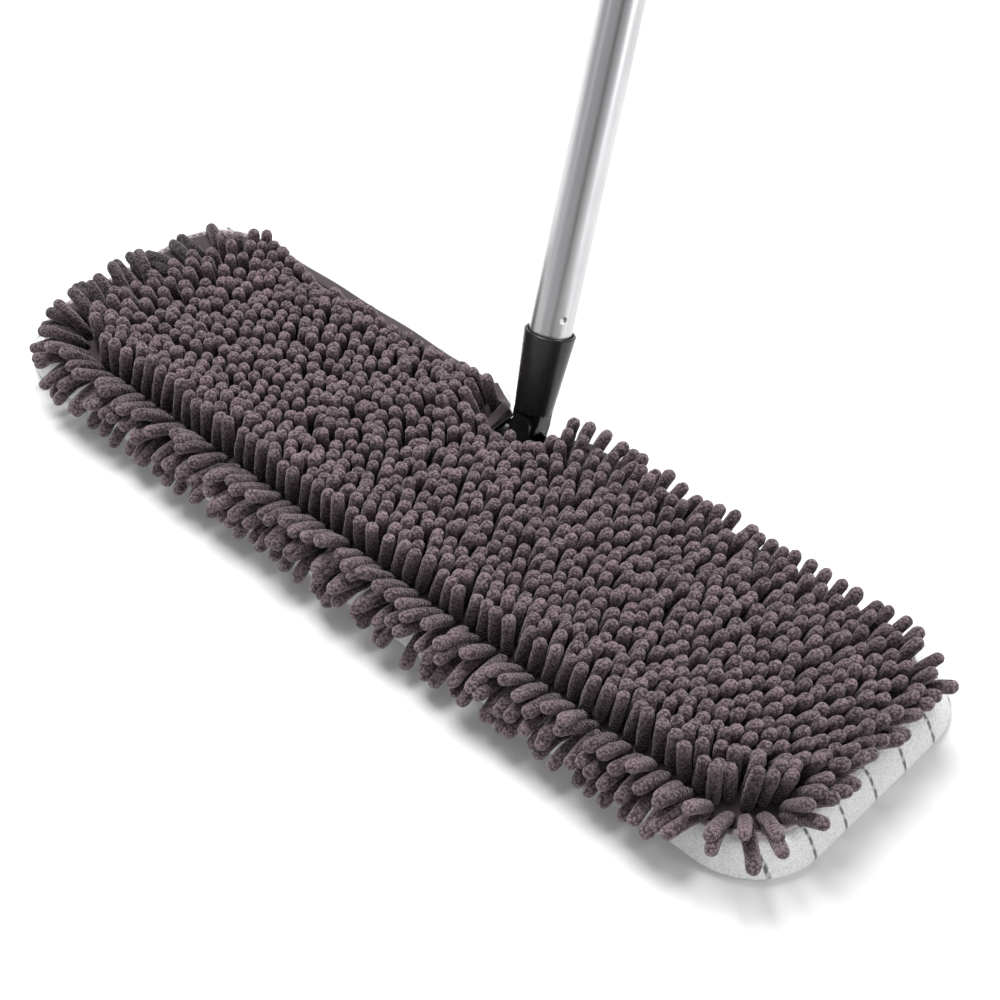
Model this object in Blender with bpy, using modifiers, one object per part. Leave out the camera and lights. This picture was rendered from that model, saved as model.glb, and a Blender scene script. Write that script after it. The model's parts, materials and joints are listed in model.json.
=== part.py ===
"""Flat mop with a flip joint: a double-sided cover on a flat frame, and a telescopic pole.

The frame is a long ribbed plate inside a cloth cover. One face of the cover is chenille
noodles, the other is a microfibre pad, and the pole passes through a notch in the back edge,
so that either face can be used. The pole hangs on two pins: the flip pin along X in the
notch, and the swivel pin across it in the cheeks of the swivel block.

Metres, +Z up. The origin is the middle of the sole (the microfibre face) on the floor, +X is
along the head and +Y is towards the back edge, where the notch is. Stations along the pole
are measured from the flip pin, and stations on the upper tube from the lock's lower end.
"""
import math

import bmesh
import bpy
from mathutils import Euler, Matrix, Vector

MM = 0.001

# Layers of the head, from the floor up
GAP = 0.3 * MM
PAD_FLOOR = 8.0 * MM
FRAME_TOP = 18.9 * MM
RIM_TOP = 18.9 * MM
CLOTH_TOP = 21.4 * MM
PILE_TOP = 43.0 * MM

# Plan sizes of the head (half length, front edge, back edge, corner radius)
PAD = (261.0 * MM, -80.0 * MM, 84.0 * MM, 38.0 * MM)
FRAME = (242.0 * MM, -62.0 * MM, 60.0 * MM, 28.0 * MM)
CLOTH = (251.0 * MM, -75.0 * MM, 70.0 * MM, 34.0 * MM)
BINDING_WIDTH = 3.6 * MM

# Notch: right-hand half, from the back edge inwards
NOTCH_HALF = 13.5 * MM
NOTCH_FRONT = 42.6 * MM
NOTCH_KINK = 60.0 * MM
HEM_MOUTH = 33.0 * MM
PAD_MOUTH = 37.0 * MM

# Frame pockets, and the hinge bracket with its ears and screws
POCKET_X = 44.0 * MM
POCKET_Y = 52.0 * MM
POCKET_RIB = 5.0 * MM
POCKET_SKIN = 3.0 * MM
POCKET_ROWS = (-31.0 * MM, 25.0 * MM)
BRACKET_HALF = 22.2 * MM
BRACKET_FRONT = 34.0 * MM
BRACKET_BACK = 59.4 * MM
ARM_INNER = 11.8 * MM
EAR_HALF = 36.0 * MM
EAR_FRONT = 37.0 * MM
EAR_BACK = 57.0 * MM
EAR_BOTTOM = 15.0 * MM
SCREW_SHANK = 1.6 * MM
SCREW_HEAD = 3.2 * MM
SCREW_TIP = 9.6 * MM
SCREWS = {
    "front_left": (-29 * MM, 41.5 * MM), "front_right": (29 * MM, 41.5 * MM),
    "back_left": (-29 * MM, 52.5 * MM), "back_right": (29 * MM, 52.5 * MM),
}

# Cover: pocket mouth with its tapes, hems, and the soft solids of the noodles
FRAME_CLEAR = 1.7 * MM
MOUTH_HALF = 214.0 * MM
TAPE_HALF = 210.0 * MM
TAPE_INNER = 42.0 * MM
TAPE_FRONT = 62.2 * MM
TAPE_BACK = 69.4 * MM
TAPE_BOTTOM = 15.4 * MM
TAPE_THICK = 1.4 * MM
HEM_FRONT = 62.0 * MM
HEM_THICK = 1.7 * MM
NOTCH_BAND = 5.0 * MM
PILE_FRONT = -66.0 * MM
PILE_BACK = 61.5 * MM
PILE_HALF = 240.0 * MM
PILE_CORNER = 26.0 * MM
PILE_NOTCH_HALF = 25.0 * MM
PILE_NOTCH_MOUTH = 32.0 * MM
PILE_NOTCH_FRONT = 36.5 * MM
FRINGE_HALF = 224.0 * MM
FRINGE_LOW = 6.0 * MM
END_FRINGE = (-62.0 * MM, 55.0 * MM)

# Joint
PIN_Y = 54.0 * MM
PIN_Z = 13.6 * MM
PIN_RADIUS = 2.25 * MM
BORE_RADIUS = 2.55 * MM
POLE_LEAN = math.radians(22.0)
POLE_SIDE = math.radians(-6.0)
SWIVEL_STATION = 12.0 * MM
BARREL_RADIUS = 9.0 * MM
BARREL_HALF = 10.2 * MM
CHEEK_HALF = 6.0 * MM
SLOT_HALF = 5.4 * MM
TONGUE_HALF = 5.0 * MM

# Pole
LOWER_RADIUS = 11.0 * MM
UPPER_RADIUS = 12.5 * MM
TUBE_WALL = 0.8 * MM
LOWER_START = 53.0 * MM
LOWER_END = 753.0 * MM
COLLAR_TOP = 62.0 * MM
DIMPLE_STATION = 72.0 * MM
DIMPLE_ANGLE = -27.0
DIMPLES = 3
LOCK_STATION = 300.0 * MM
UPPER_LENGTH = 740.0 * MM
UPPER_START = 40.6 * MM
PLUG_DEPTH = 20.0 * MM
EYE_STATION = UPPER_LENGTH + 22 * MM
EYE_RADIUS = 6.0 * MM
GRIP_LENGTH = 150.0 * MM
GRIP_RIPPLES = 5
FLUTES = 12
ARC_STEPS = 8
ROUND_STEPS = 32


# ---------------------------------------------------------------- helpers

def new_material(name, colour, roughness, metallic=0.0):
    """A Principled material with one colour."""
    mat = bpy.data.materials.new(name)
    mat.use_nodes = True
    shader = mat.node_tree.nodes["Principled BSDF"]
    shader.inputs["Base Color"].default_value = (*colour, 1.0)
    shader.inputs["Roughness"].default_value = roughness
    shader.inputs["Metallic"].default_value = metallic
    mat.diffuse_color = (*colour, 1.0)
    return mat


def link(obj, mat, parent=None, collection=None):
    """Put an object in its collection, under its parent, with its material."""
    (collection or PARTS).objects.link(obj)
    if mat is not None:
        obj.data.materials.clear()
        obj.data.materials.append(mat)
    if parent is not None:
        obj.parent = parent
    return obj


def mesh_object(name, build, mat, parent=None, collection=None):
    """A new object whose mesh is filled by build(bm)."""
    mesh = bpy.data.meshes.new(name)
    bm = bmesh.new()
    build(bm)
    bmesh.ops.recalc_face_normals(bm, faces=bm.faces)
    bm.to_mesh(mesh)
    bm.free()
    return link(bpy.data.objects.new(name, mesh), mat, parent, collection)


def arc(cx, cy, radius, start, end, steps=ARC_STEPS):
    """Points on an arc, angles in degrees."""
    angles = [math.radians(start + (end - start) * i / steps) for i in range(steps + 1)]
    return [(cx + radius * math.cos(a), cy + radius * math.sin(a)) for a in angles]


def panel_outline(size, notch=()):
    """Rounded rectangle, counter-clockwise, with an optional notch in its back edge."""
    half, front, back, radius = size
    points = arc(-half + radius, front + radius, radius, 180, 270)
    points += arc(half - radius, front + radius, radius, 270, 360)
    points += arc(half - radius, back - radius, radius, 0, 90)
    points += list(notch)
    points += [(-x, y) for x, y in reversed(notch)]
    points += arc(-half + radius, back - radius, radius, 90, 180)
    return points


def slab(name, outline, low, high, mat, bevel=0.0, collection=None):
    """A flat outline made solid between two heights, as a mesh with welded caps."""
    curve = bpy.data.curves.new(name, "CURVE")
    curve.dimensions = "2D"
    curve.fill_mode = "BOTH"
    curve.extrude = (high - low) / 2
    spline = curve.splines.new("POLY")
    spline.points.add(len(outline) - 1)
    for point, (x, y) in zip(spline.points, outline):
        point.co = (x, y, 0.0, 1.0)
    spline.use_cyclic_u = True
    source = bpy.data.objects.new(name + "_outline", curve)
    source.location.z = (low + high) / 2
    PARTS.objects.link(source)
    bpy.context.view_layer.update()
    mesh = bpy.data.meshes.new_from_object(source.evaluated_get(bpy.context.evaluated_depsgraph_get()))
    bm = bmesh.new()
    bm.from_mesh(mesh)
    bmesh.ops.remove_doubles(bm, verts=bm.verts, dist=0.00001)
    bmesh.ops.recalc_face_normals(bm, faces=bm.faces)
    bm.to_mesh(mesh)
    bm.free()
    obj = bpy.data.objects.new(name, mesh)
    obj.matrix_world = source.matrix_world
    bpy.data.objects.remove(source)
    link(obj, mat, collection=collection)
    if bevel:
        add_bevel(obj, bevel)
    return obj


def add_bevel(obj, width, segments=2):
    """Round the sharp edges of a piece."""
    mod = obj.modifiers.new("rounded_edges", "BEVEL")
    mod.width = width
    mod.segments = segments
    mod.limit_method = "ANGLE"
    mod.angle_limit = math.radians(50)


def join_or_cut(obj, tool, operation="DIFFERENCE"):
    """Exact boolean between a piece and a cutter, which is then only a wire guide."""
    mod = obj.modifiers.new(operation.lower() + "_" + tool.name, "BOOLEAN")
    mod.operation = operation
    mod.solver = "EXACT"
    mod.object = tool


def box_cutter(name, low, high, parent=None):
    """A box between two corners, used for cutting or joining."""
    centre = [(a + b) / 2 for a, b in zip(low, high)]
    size = [b - a for a, b in zip(low, high)]

    def build(bm):
        bmesh.ops.create_cube(bm, size=1.0)
        bmesh.ops.scale(bm, vec=size, verts=bm.verts)
        bmesh.ops.translate(bm, vec=centre, verts=bm.verts)

    return hide(mesh_object(name, build, None, parent, CUTTERS))


def hide(obj):
    """Leave a cutter out of the model."""
    obj.hide_render = True
    obj.display_type = "WIRE"
    return obj


def rod_build(start, end, radius, steps=ROUND_STEPS, radius_end=None):
    """Return a builder for a round bar, or a cone, between two points."""
    start, end = Vector(start), Vector(end)
    turn = (end - start).to_track_quat("Z", "Y").to_matrix().to_4x4()
    place = Matrix.Translation((start + end) / 2) @ turn

    def build(bm):
        last = radius if radius_end is None else radius_end
        bmesh.ops.create_cone(bm, cap_ends=True, segments=steps, radius1=radius, radius2=last,
                              depth=(end - start).length, matrix=place)

    return build


def rod_cutter(name, start, end, radius, parent=None, steps=24, radius_end=None):
    """A round cutter between two points."""
    return hide(mesh_object(name, rod_build(start, end, radius, steps, radius_end),
                            None, parent, CUTTERS))


def turned(name, profile, mat, parent=None, closed=False, steps=ROUND_STEPS, collection=None):
    """A profile of (radius, station) points turned about Z, top to bottom on its outer side."""
    mesh = bpy.data.meshes.new(name)
    verts = [(r, 0.0, z) for r, z in profile]
    edges = [(i, i + 1) for i in range(len(verts) - 1)]
    if closed:
        edges.append((len(verts) - 1, 0))
    mesh.from_pydata(verts, edges, [])
    obj = link(bpy.data.objects.new(name, mesh), mat, parent, collection)
    mod = obj.modifiers.new("turned", "SCREW")
    mod.axis = "Z"
    mod.steps = steps
    mod.render_steps = steps
    mod.use_merge_vertices = True
    mod.merge_threshold = 0.00001
    mod.use_smooth_shade = True
    return obj


def smooth(obj, angle=35):
    """Shade a round piece smooth, with its sharp edges kept."""
    obj.data.shade_smooth()
    obj.data.set_sharp_from_angle(angle=math.radians(angle))
    return obj


def prism(name, section, start, end, along, mat):
    """A section in the plane across X or Y, made solid along that axis."""
    if along == "X":
        points = [[(s, a, z) for a, z in section] for s in (start, end)]
    else:
        points = [[(a, s, z) for a, z in section] for s in (start, end)]

    def build(bm):
        near, far = ([bm.verts.new(p) for p in ring] for ring in points)
        bm.faces.new(near)
        bm.faces.new(far)
        for i in range(len(near)):
            j = (i + 1) % len(near)
            bm.faces.new((near[i], near[j], far[j], far[i]))

    return mesh_object(name, build, mat)


# ---------------------------------------------------------------- frame and hinge

def make_frame():
    """Ribbed plate with a square notch for the hinge bracket."""
    half = BRACKET_HALF + GAP
    notch = [(half, FRAME[2]), (half, BRACKET_FRONT - GAP)]
    frame = slab("frame_plate", panel_outline(FRAME, notch), PAD_FLOOR + GAP, FRAME_TOP,
                 PLASTIC_GREY)
    for row, middle in enumerate(POCKET_ROWS):
        for side in (-1, 1):
            for column in range(4):
                if row == 1 and column == 0:
                    continue
                x = side * (column + 0.5) * (POCKET_X + POCKET_RIB)
                low = (x - POCKET_X / 2, middle - POCKET_Y / 2, 0.0)
                high = (x + POCKET_X / 2, middle + POCKET_Y / 2, FRAME_TOP - POCKET_SKIN)
                name = "pocket_%d_%d_%s" % (row, column, "left" if side < 0 else "right")
                join_or_cut(frame, box_cutter(name, low, high))
    for side in (-1, 1):
        edges = sorted((side * (half - GAP), side * (EAR_HALF + GAP)))
        low = (edges[0], EAR_FRONT - GAP, EAR_BOTTOM - GAP)
        high = (edges[1], EAR_BACK + GAP, FRAME_TOP + 1 * MM)
        name = "rebate_%s" % ("left" if side < 0 else "right")
        join_or_cut(frame, box_cutter(name, low, high))
    for name, (x, y) in SCREWS.items():
        hole = rod_cutter("frame_hole_" + name, (x, y, SCREW_TIP - GAP), (x, y, EAR_BOTTOM),
                          SCREW_SHANK + GAP)
        join_or_cut(frame, hole)
    return frame


def make_bracket():
    """U-shaped moulding that holds the flip pin, with an ear on each side for two screws."""
    inner_front = PIN_Y - BARREL_RADIUS - 0.8 * MM
    outline = [(-BRACKET_HALF, BRACKET_FRONT), (BRACKET_HALF, BRACKET_FRONT),
               (BRACKET_HALF, BRACKET_BACK), (ARM_INNER, BRACKET_BACK),
               (ARM_INNER, inner_front), (-ARM_INNER, inner_front),
               (-ARM_INNER, BRACKET_BACK), (-BRACKET_HALF, BRACKET_BACK)]
    bracket = slab("hinge_bracket", outline, PAD_FLOOR + 2 * GAP, FRAME_TOP - GAP, PLASTIC_BLACK)
    for side in (-1, 1):
        word = "left" if side < 0 else "right"
        edges = sorted((side * (BRACKET_HALF - 1 * MM), side * EAR_HALF))
        ear = box_cutter("ear_" + word, (edges[0], EAR_FRONT, EAR_BOTTOM),
                         (edges[1], EAR_BACK, FRAME_TOP - GAP))
        join_or_cut(bracket, ear, "UNION")
    reach = BRACKET_HALF + 1 * MM
    join_or_cut(bracket, rod_cutter("flip_bore", (-reach, PIN_Y, PIN_Z), (reach, PIN_Y, PIN_Z),
                                    BORE_RADIUS))
    for name, (x, y) in SCREWS.items():
        hole = rod_cutter("ear_hole_" + name, (x, y, EAR_BOTTOM - 1 * MM),
                          (x, y, FRAME_TOP), SCREW_SHANK + GAP)
        join_or_cut(bracket, hole)
        sink = rod_cutter("ear_sink_" + name, (x, y, FRAME_TOP - 2.6 * MM),
                          (x, y, FRAME_TOP), SCREW_SHANK, radius_end=SCREW_HEAD + 2 * GAP)
        join_or_cut(bracket, sink)
    return bracket


def make_screws():
    """Countersunk screws through the ears of the bracket."""
    top = FRAME_TOP - 2 * GAP
    profile = [(0.0, top), (SCREW_HEAD - GAP, top), (SCREW_HEAD - GAP, top - 0.3 * MM),
               (SCREW_SHANK - 0.2 * MM, top - 2.0 * MM), (SCREW_SHANK - 0.2 * MM, SCREW_TIP + 1 * MM),
               (0.0, SCREW_TIP)]
    for name, (x, y) in SCREWS.items():
        screw = turned("bracket_screw_" + name, profile, STEEL, steps=16)
        screw.location = (x, y, 0.0)


def make_flip_joint():
    """Flip pin and the two friction washers beside the barrel."""
    reach = BRACKET_HALF - 0.6 * MM
    pin = mesh_object("flip_pin", rod_build((-reach, PIN_Y, PIN_Z), (reach, PIN_Y, PIN_Z),
                                            PIN_RADIUS, 24), STEEL)
    smooth(pin)
    inner, outer = BORE_RADIUS, 5.0 * MM
    near, far = BARREL_HALF + GAP, ARM_INNER - GAP
    for side, word in ((-1, "left"), (1, "right")):
        profile = [(inner, far), (outer, far), (outer, near), (inner, near)]
        washer = turned("friction_washer_" + word, profile, RUBBER, closed=True, steps=24)
        washer.rotation_euler = (0.0, side * math.pi / 2, 0.0)
        washer.location = (0.0, PIN_Y, PIN_Z)


# ---------------------------------------------------------------- cover

def cover_notch(mouth, back):
    """Right-hand half of the notch: flared at the back edge, straight beside the joint."""
    return [(mouth, back), (NOTCH_HALF, NOTCH_KINK), (NOTCH_HALF, NOTCH_FRONT)]


def make_pad():
    """Microfibre pad: a tray whose rim wraps the frame on three sides."""
    pad = slab("microfibre_pad", panel_outline(PAD, cover_notch(PAD_MOUTH, PAD[2])), 0.0,
               RIM_TOP, MICROFIBRE, bevel=3.0 * MM)
    half, front, back, radius = FRAME
    recess = (half + FRAME_CLEAR, front - FRAME_CLEAR, back + FRAME_CLEAR, radius + FRAME_CLEAR)
    cutter = slab("frame_recess", panel_outline(recess), PAD_FLOOR, RIM_TOP + 5 * MM, None,
                  collection=CUTTERS)
    join_or_cut(pad, hide(cutter))
    mouth = box_cutter("pocket_mouth", (-MOUTH_HALF, back - 2 * MM, TAPE_BOTTOM - GAP),
                       (MOUTH_HALF, PAD[2] + 5 * MM, RIM_TOP + 5 * MM))
    join_or_cut(pad, mouth)
    return pad


def make_tapes():
    """Hook tapes on the pad and loop tapes under the cloth, which close the back edge."""
    for side, word in ((-1, "left"), (1, "right")):
        left, right = sorted((side * TAPE_INNER, side * TAPE_HALF))
        outline = [(left, TAPE_FRONT), (right, TAPE_FRONT), (right, TAPE_BACK), (left, TAPE_BACK)]
        hook_top = TAPE_BOTTOM + TAPE_THICK
        slab("hook_tape_" + word, outline, TAPE_BOTTOM, hook_top, TAPE_GREY)
        slab("loop_tape_" + word, outline, hook_top + GAP, hook_top + GAP + TAPE_THICK, TAPE_GREY)


def make_cloth():
    """Base cloth of the chenille face, with its edge binding, hems and notch binding."""
    cloth = (CLOTH[0] - BINDING_WIDTH, CLOTH[1] + BINDING_WIDTH, CLOTH[2], CLOTH[3] - BINDING_WIDTH)
    notch = cover_notch(HEM_MOUTH, CLOTH[2])
    slab("chenille_base", panel_outline(cloth, notch), RIM_TOP + GAP, CLOTH_TOP, CLOTH_MAUVE)

    half, front, back, radius = CLOTH
    inner = (cloth[0] + GAP, cloth[1] - GAP, back, cloth[3] + GAP)
    ring = arc(-half + radius, back - radius, radius, 90, 180)
    ring += arc(-half + radius, front + radius, radius, 180, 270)
    ring += arc(half - radius, front + radius, radius, 270, 360)
    ring += arc(half - radius, back - radius, radius, 0, 90)
    half, front, back, radius = inner
    inside = arc(half - radius, back - radius, radius, 90, 0)
    inside += arc(half - radius, front + radius, radius, 360, 270)
    inside += arc(-half + radius, front + radius, radius, 270, 180)
    inside += arc(-half + radius, back - radius, radius, 180, 90)
    outline = ring + inside
    slab("edge_binding", outline, RIM_TOP + GAP, CLOTH_TOP + 0.6 * MM, BINDING_PINK)

    low, high = CLOTH_TOP + GAP, CLOTH_TOP + GAP + HEM_THICK
    hem_end = CLOTH[0] - CLOTH[3] - 2 * MM
    for side, word in ((-1, "left"), (1, "right")):
        left, right = sorted((side * (HEM_MOUTH + 8 * MM), side * hem_end))
        outline = [(left, HEM_FRONT), (right, HEM_FRONT), (right, CLOTH[2]), (left, CLOTH[2])]
        slab("back_hem_" + word, outline, low, high, CLOTH_MAUVE)

    band = NOTCH_BAND
    inner = [(HEM_MOUTH, CLOTH[2]), (NOTCH_HALF, NOTCH_KINK), (NOTCH_HALF, NOTCH_FRONT)]
    outer = [(NOTCH_HALF + band, NOTCH_FRONT - band), (NOTCH_HALF + band, NOTCH_KINK - 3 * MM),
             (HEM_MOUTH + 7 * MM, CLOTH[2])]
    outline = inner + [(-x, y) for x, y in reversed(inner)]
    outline += [(-x, y) for x, y in reversed(outer)] + outer
    slab("notch_binding", outline, low, high, CLOTH_MAUVE)


def make_pile():
    """Soft solids of the noodles: the upright field, and the rows that bend over the edges."""
    size = (PILE_HALF, PILE_FRONT, PILE_BACK, PILE_CORNER)
    notch = [(PILE_NOTCH_MOUTH, PILE_BACK), (PILE_NOTCH_HALF, NOTCH_KINK - 4 * MM),
             (PILE_NOTCH_HALF, PILE_NOTCH_FRONT)]
    low = CLOTH_TOP + GAP
    slab("chenille_pile", panel_outline(size, notch), low, PILE_TOP, CHENILLE)

    front = PILE_FRONT - 0.5 * MM
    outside = PAD[1] - 1.5 * MM
    over = CLOTH_TOP + 1.2 * MM
    section = [(front, over), (front, 37 * MM), (-84 * MM, 33 * MM), (-94 * MM, 20 * MM),
               (-95 * MM, FRINGE_LOW), (outside, FRINGE_LOW), (outside, over)]
    prism("front_fringe", section, -FRINGE_HALF, FRINGE_HALF, "X", CHENILLE)

    start = PILE_HALF + 0.5 * MM
    end = [(start, over), (start, PILE_TOP), (255 * MM, 40 * MM), (261 * MM, 30 * MM),
           (259 * MM, over)]
    for side, word in ((-1, "left"), (1, "right")):
        outline = [(side * x, z) for x, z in end]
        prism(word + "_fringe", outline, *END_FRINGE, "Y", CHENILLE)


# ---------------------------------------------------------------- swivel block

def make_block(flip):
    """Barrel on the flip pin with two round-topped cheeks for the swivel pin."""
    block = mesh_object("swivel_block", rod_build((-BARREL_HALF, 0, 0), (BARREL_HALF, 0, 0),
                                                  BARREL_RADIUS, 40), PLASTIC_BLACK, flip)
    cheek = hide(cheek_cutter(flip))
    join_or_cut(block, cheek, "UNION")
    slot = box_cutter("cheek_slot", (-15 * MM, -SLOT_HALF, 4 * MM), (15 * MM, SLOT_HALF, 30 * MM), flip)
    join_or_cut(block, slot)
    join_or_cut(block, rod_cutter("barrel_bore", (-15 * MM, 0, 0), (15 * MM, 0, 0),
                                  BORE_RADIUS, flip))
    join_or_cut(block, rod_cutter("swivel_bore", (0, -8 * MM, SWIVEL_STATION),
                                  (0, 12 * MM, SWIVEL_STATION), BORE_RADIUS, flip))
    smooth(block)
    pin = mesh_object("swivel_pin", rod_build((0, -7.6 * MM, SWIVEL_STATION),
                                              (0, 8.6 * MM, SWIVEL_STATION), PIN_RADIUS, 24),
                      STEEL, flip)
    smooth(pin)


def cheek_cutter(flip):
    """Both cheeks as one upright plate, with a round top about the swivel pin."""
    top = arc(0.0, SWIVEL_STATION, CHEEK_HALF, 0, 180, 14)
    outline = [(CHEEK_HALF, 0.0)] + top + [(-CHEEK_HALF, 0.0)]
    plate = slab("cheek_plate", outline, -BARREL_RADIUS, BARREL_RADIUS, None, collection=CUTTERS)
    stand(plate)
    plate.parent = flip
    return plate


def stand(obj):
    """Turn a slab from the floor plane into the X-Z plane, in its mesh."""
    turn = Matrix.Rotation(math.pi / 2, 4, "X")
    obj.data.transform(turn @ obj.matrix_world)
    obj.matrix_world = Matrix.Identity(4)


# ---------------------------------------------------------------- pole

def make_socket(pole):
    """Tongue between the cheeks, tapered collar, and spigot inside the lower tube."""
    neck, foot, rim = 8.9 * MM, 9.9 * MM, 13.3 * MM
    start = 18.4 * MM
    bore = LOWER_RADIUS + 0.35 * MM
    spigot = LOWER_RADIUS - TUBE_WALL - 0.35 * MM
    profile = [(0.0, 86 * MM), (spigot - 1 * MM, 86 * MM), (spigot, 84 * MM),
               (spigot, 75.5 * MM), (spigot - 1.4 * MM, 74 * MM), (spigot - 1.4 * MM, 70 * MM),
               (spigot, 68.5 * MM), (spigot, LOWER_START - GAP), (bore, LOWER_START - GAP),
               (bore, COLLAR_TOP - 1.0 * MM), (bore + 0.5 * MM, COLLAR_TOP),
               (rim - 0.4 * MM, COLLAR_TOP), (rim, COLLAR_TOP - 0.5 * MM),
               (foot, start + 1.5 * MM), (neck, start), (0.0, start)]
    socket = turned("pole_socket", profile, PLASTIC_BLACK, pole, steps=40)
    outline = arc(0.0, SWIVEL_STATION, 7.5 * MM, 180, 360, 16)
    outline += [(neck - 0.3 * MM, 15 * MM), (neck - 0.3 * MM, start + 3 * MM),
                (0.3 * MM - neck, start + 3 * MM), (0.3 * MM - neck, 15 * MM)]
    tongue = slab("tongue_plate", outline, -TONGUE_HALF, TONGUE_HALF, None, collection=CUTTERS)
    stand(tongue)
    tongue.parent = pole
    join_or_cut(socket, hide(tongue), "UNION")
    join_or_cut(socket, rod_cutter("tongue_bore", (0, -10 * MM, SWIVEL_STATION),
                                   (0, 10 * MM, SWIVEL_STATION), BORE_RADIUS, pole))
    return socket


def make_lower_tube(pole):
    """Bare aluminium tube with three crimp dimples that hold it on the spigot."""
    inner = LOWER_RADIUS - TUBE_WALL
    profile = [(inner, LOWER_END), (LOWER_RADIUS, LOWER_END), (LOWER_RADIUS, LOWER_START),
               (inner, LOWER_START)]
    tube = turned("lower_tube", profile, ALUMINIUM, pole, closed=True, steps=40)
    ball, depth = 2.6 * MM, 0.5 * MM
    for index in range(DIMPLES):
        angle = math.radians(DIMPLE_ANGLE + 360 * index / DIMPLES)
        reach = LOWER_RADIUS + ball - depth

        def build(bm, a=angle, d=reach):
            bmesh.ops.create_uvsphere(bm, u_segments=16, v_segments=8, radius=ball)
            centre = (d * math.cos(a), d * math.sin(a), DIMPLE_STATION)
            bmesh.ops.translate(bm, vec=centre, verts=bm.verts)

        cutter = mesh_object("dimple_%d" % index, build, None, pole, CUTTERS)
        join_or_cut(tube, hide(cutter))
    bush = [(LOWER_RADIUS + 0.4 * MM, LOWER_END + 8 * MM), (LOWER_RADIUS + 0.4 * MM, LOWER_END + GAP),
            (inner - 0.4 * MM, LOWER_END + GAP), (inner - 0.4 * MM, LOWER_END - 20 * MM),
            (7.5 * MM, LOWER_END - 20 * MM), (7.5 * MM, LOWER_END + 8 * MM)]
    turned("guide_bush", bush, PLASTIC_BLACK, pole, closed=True, steps=24)


def make_upper_pole(upper):
    """Lock body, upper tube, hand grip and end cap with its hanging hole."""
    inner = UPPER_RADIUS - TUBE_WALL
    tube = [(inner, UPPER_LENGTH), (UPPER_RADIUS, UPPER_LENGTH), (UPPER_RADIUS, UPPER_START),
            (inner, UPPER_START)]
    turned("upper_tube", tube, ALUMINIUM, upper, closed=True)
    slide = LOWER_RADIUS + 0.35 * MM
    over = UPPER_RADIUS + 0.35 * MM
    body = [(over, 70 * MM), (14.2 * MM, 70 * MM), (15.3 * MM, 66 * MM), (15.3 * MM, 42.6 * MM),
            (13.9 * MM, 42.6 * MM), (13.9 * MM, 8 * MM), (slide, 8 * MM), (slide, 40.3 * MM),
            (over, 40.3 * MM)]
    turned("lock_body", body, PLASTIC_BLACK, upper, closed=True)
    grip_end = UPPER_LENGTH - 4 * MM
    grip = [(over, grip_end), (15.6 * MM, grip_end), (16.6 * MM, grip_end - 3 * MM)]
    for i in range(GRIP_RIPPLES * 4 + 1):
        along = i / (GRIP_RIPPLES * 4)
        radius = 15.7 * MM + 0.7 * MM * math.cos(2 * math.pi * GRIP_RIPPLES * along)
        grip.append((radius, grip_end - 6 * MM - along * (GRIP_LENGTH - 12 * MM)))
    grip += [(15.0 * MM, grip_end - GRIP_LENGTH), (over, grip_end - GRIP_LENGTH)]
    turned("hand_grip", grip, RUBBER, upper, closed=True)
    make_end_cap(upper)


def make_end_cap(upper):
    """Plug in the top of the tube with a flat hanging eye."""
    base = UPPER_LENGTH + GAP
    plug = UPPER_RADIUS - TUBE_WALL - 0.4 * MM
    profile = [(0.0, base + 12 * MM), (6 * MM, base + 11.5 * MM), (11 * MM, base + 8 * MM),
               (13.4 * MM, base + 3 * MM), (13.6 * MM, base), (plug, base),
               (plug, base - PLUG_DEPTH), (0.0, base - PLUG_DEPTH)]
    cap = turned("end_cap", profile, PLASTIC_BLACK, upper)
    eye = EYE_STATION
    outline = arc(0.0, eye, 11 * MM, 0, 180, 14) + [(-9.5 * MM, base + 4 * MM), (9.5 * MM, base + 4 * MM)]
    tab = slab("eye_plate", outline, -4 * MM, 4 * MM, None, collection=CUTTERS)
    stand(tab)
    tab.parent = upper
    join_or_cut(cap, hide(tab), "UNION")
    join_or_cut(cap, rod_cutter("eye_hole", (0, -8 * MM, eye), (0, 8 * MM, eye), EYE_RADIUS, upper))


def make_lock_collar(upper):
    """Twist collar around the lock body."""
    slide, bore = LOWER_RADIUS + 0.5 * MM, 14.25 * MM
    profile = [(bore, 42.2 * MM), (16.0 * MM, 42.2 * MM), (17.0 * MM, 40 * MM), (17.0 * MM, 14 * MM),
               (15.6 * MM, 3 * MM), (14.6 * MM, 0.0), (slide, 0.0), (slide, 5 * MM),
               (bore, 7.4 * MM)]
    collar = turned("lock_collar", profile, PLASTIC_BLACK, upper, closed=True, steps=36)
    for index in range(FLUTES):
        angle = 2 * math.pi * index / FLUTES
        x, y = 18.3 * MM * math.cos(angle), 18.3 * MM * math.sin(angle)
        flute = rod_cutter("flute_%d" % index, (x, y, 16 * MM), (x, y, 38 * MM), 1.9 * MM, upper, 12)
        join_or_cut(collar, flute)


# ---------------------------------------------------------------- scene

def empty(name, location, rotation, parent=None):
    """An axis that moving pieces hang on."""
    obj = bpy.data.objects.new(name, None)
    obj.empty_display_size = 0.05
    obj.location = location
    obj.rotation_euler = Euler(rotation)
    PARTS.objects.link(obj)
    obj.parent = parent
    return obj


for old in list(bpy.data.objects):
    bpy.data.objects.remove(old)
PARTS = bpy.data.collections.new("flat_mop")
CUTTERS = bpy.data.collections.new("cutters")
bpy.context.scene.collection.children.link(PARTS)
bpy.context.scene.collection.children.link(CUTTERS)

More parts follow.
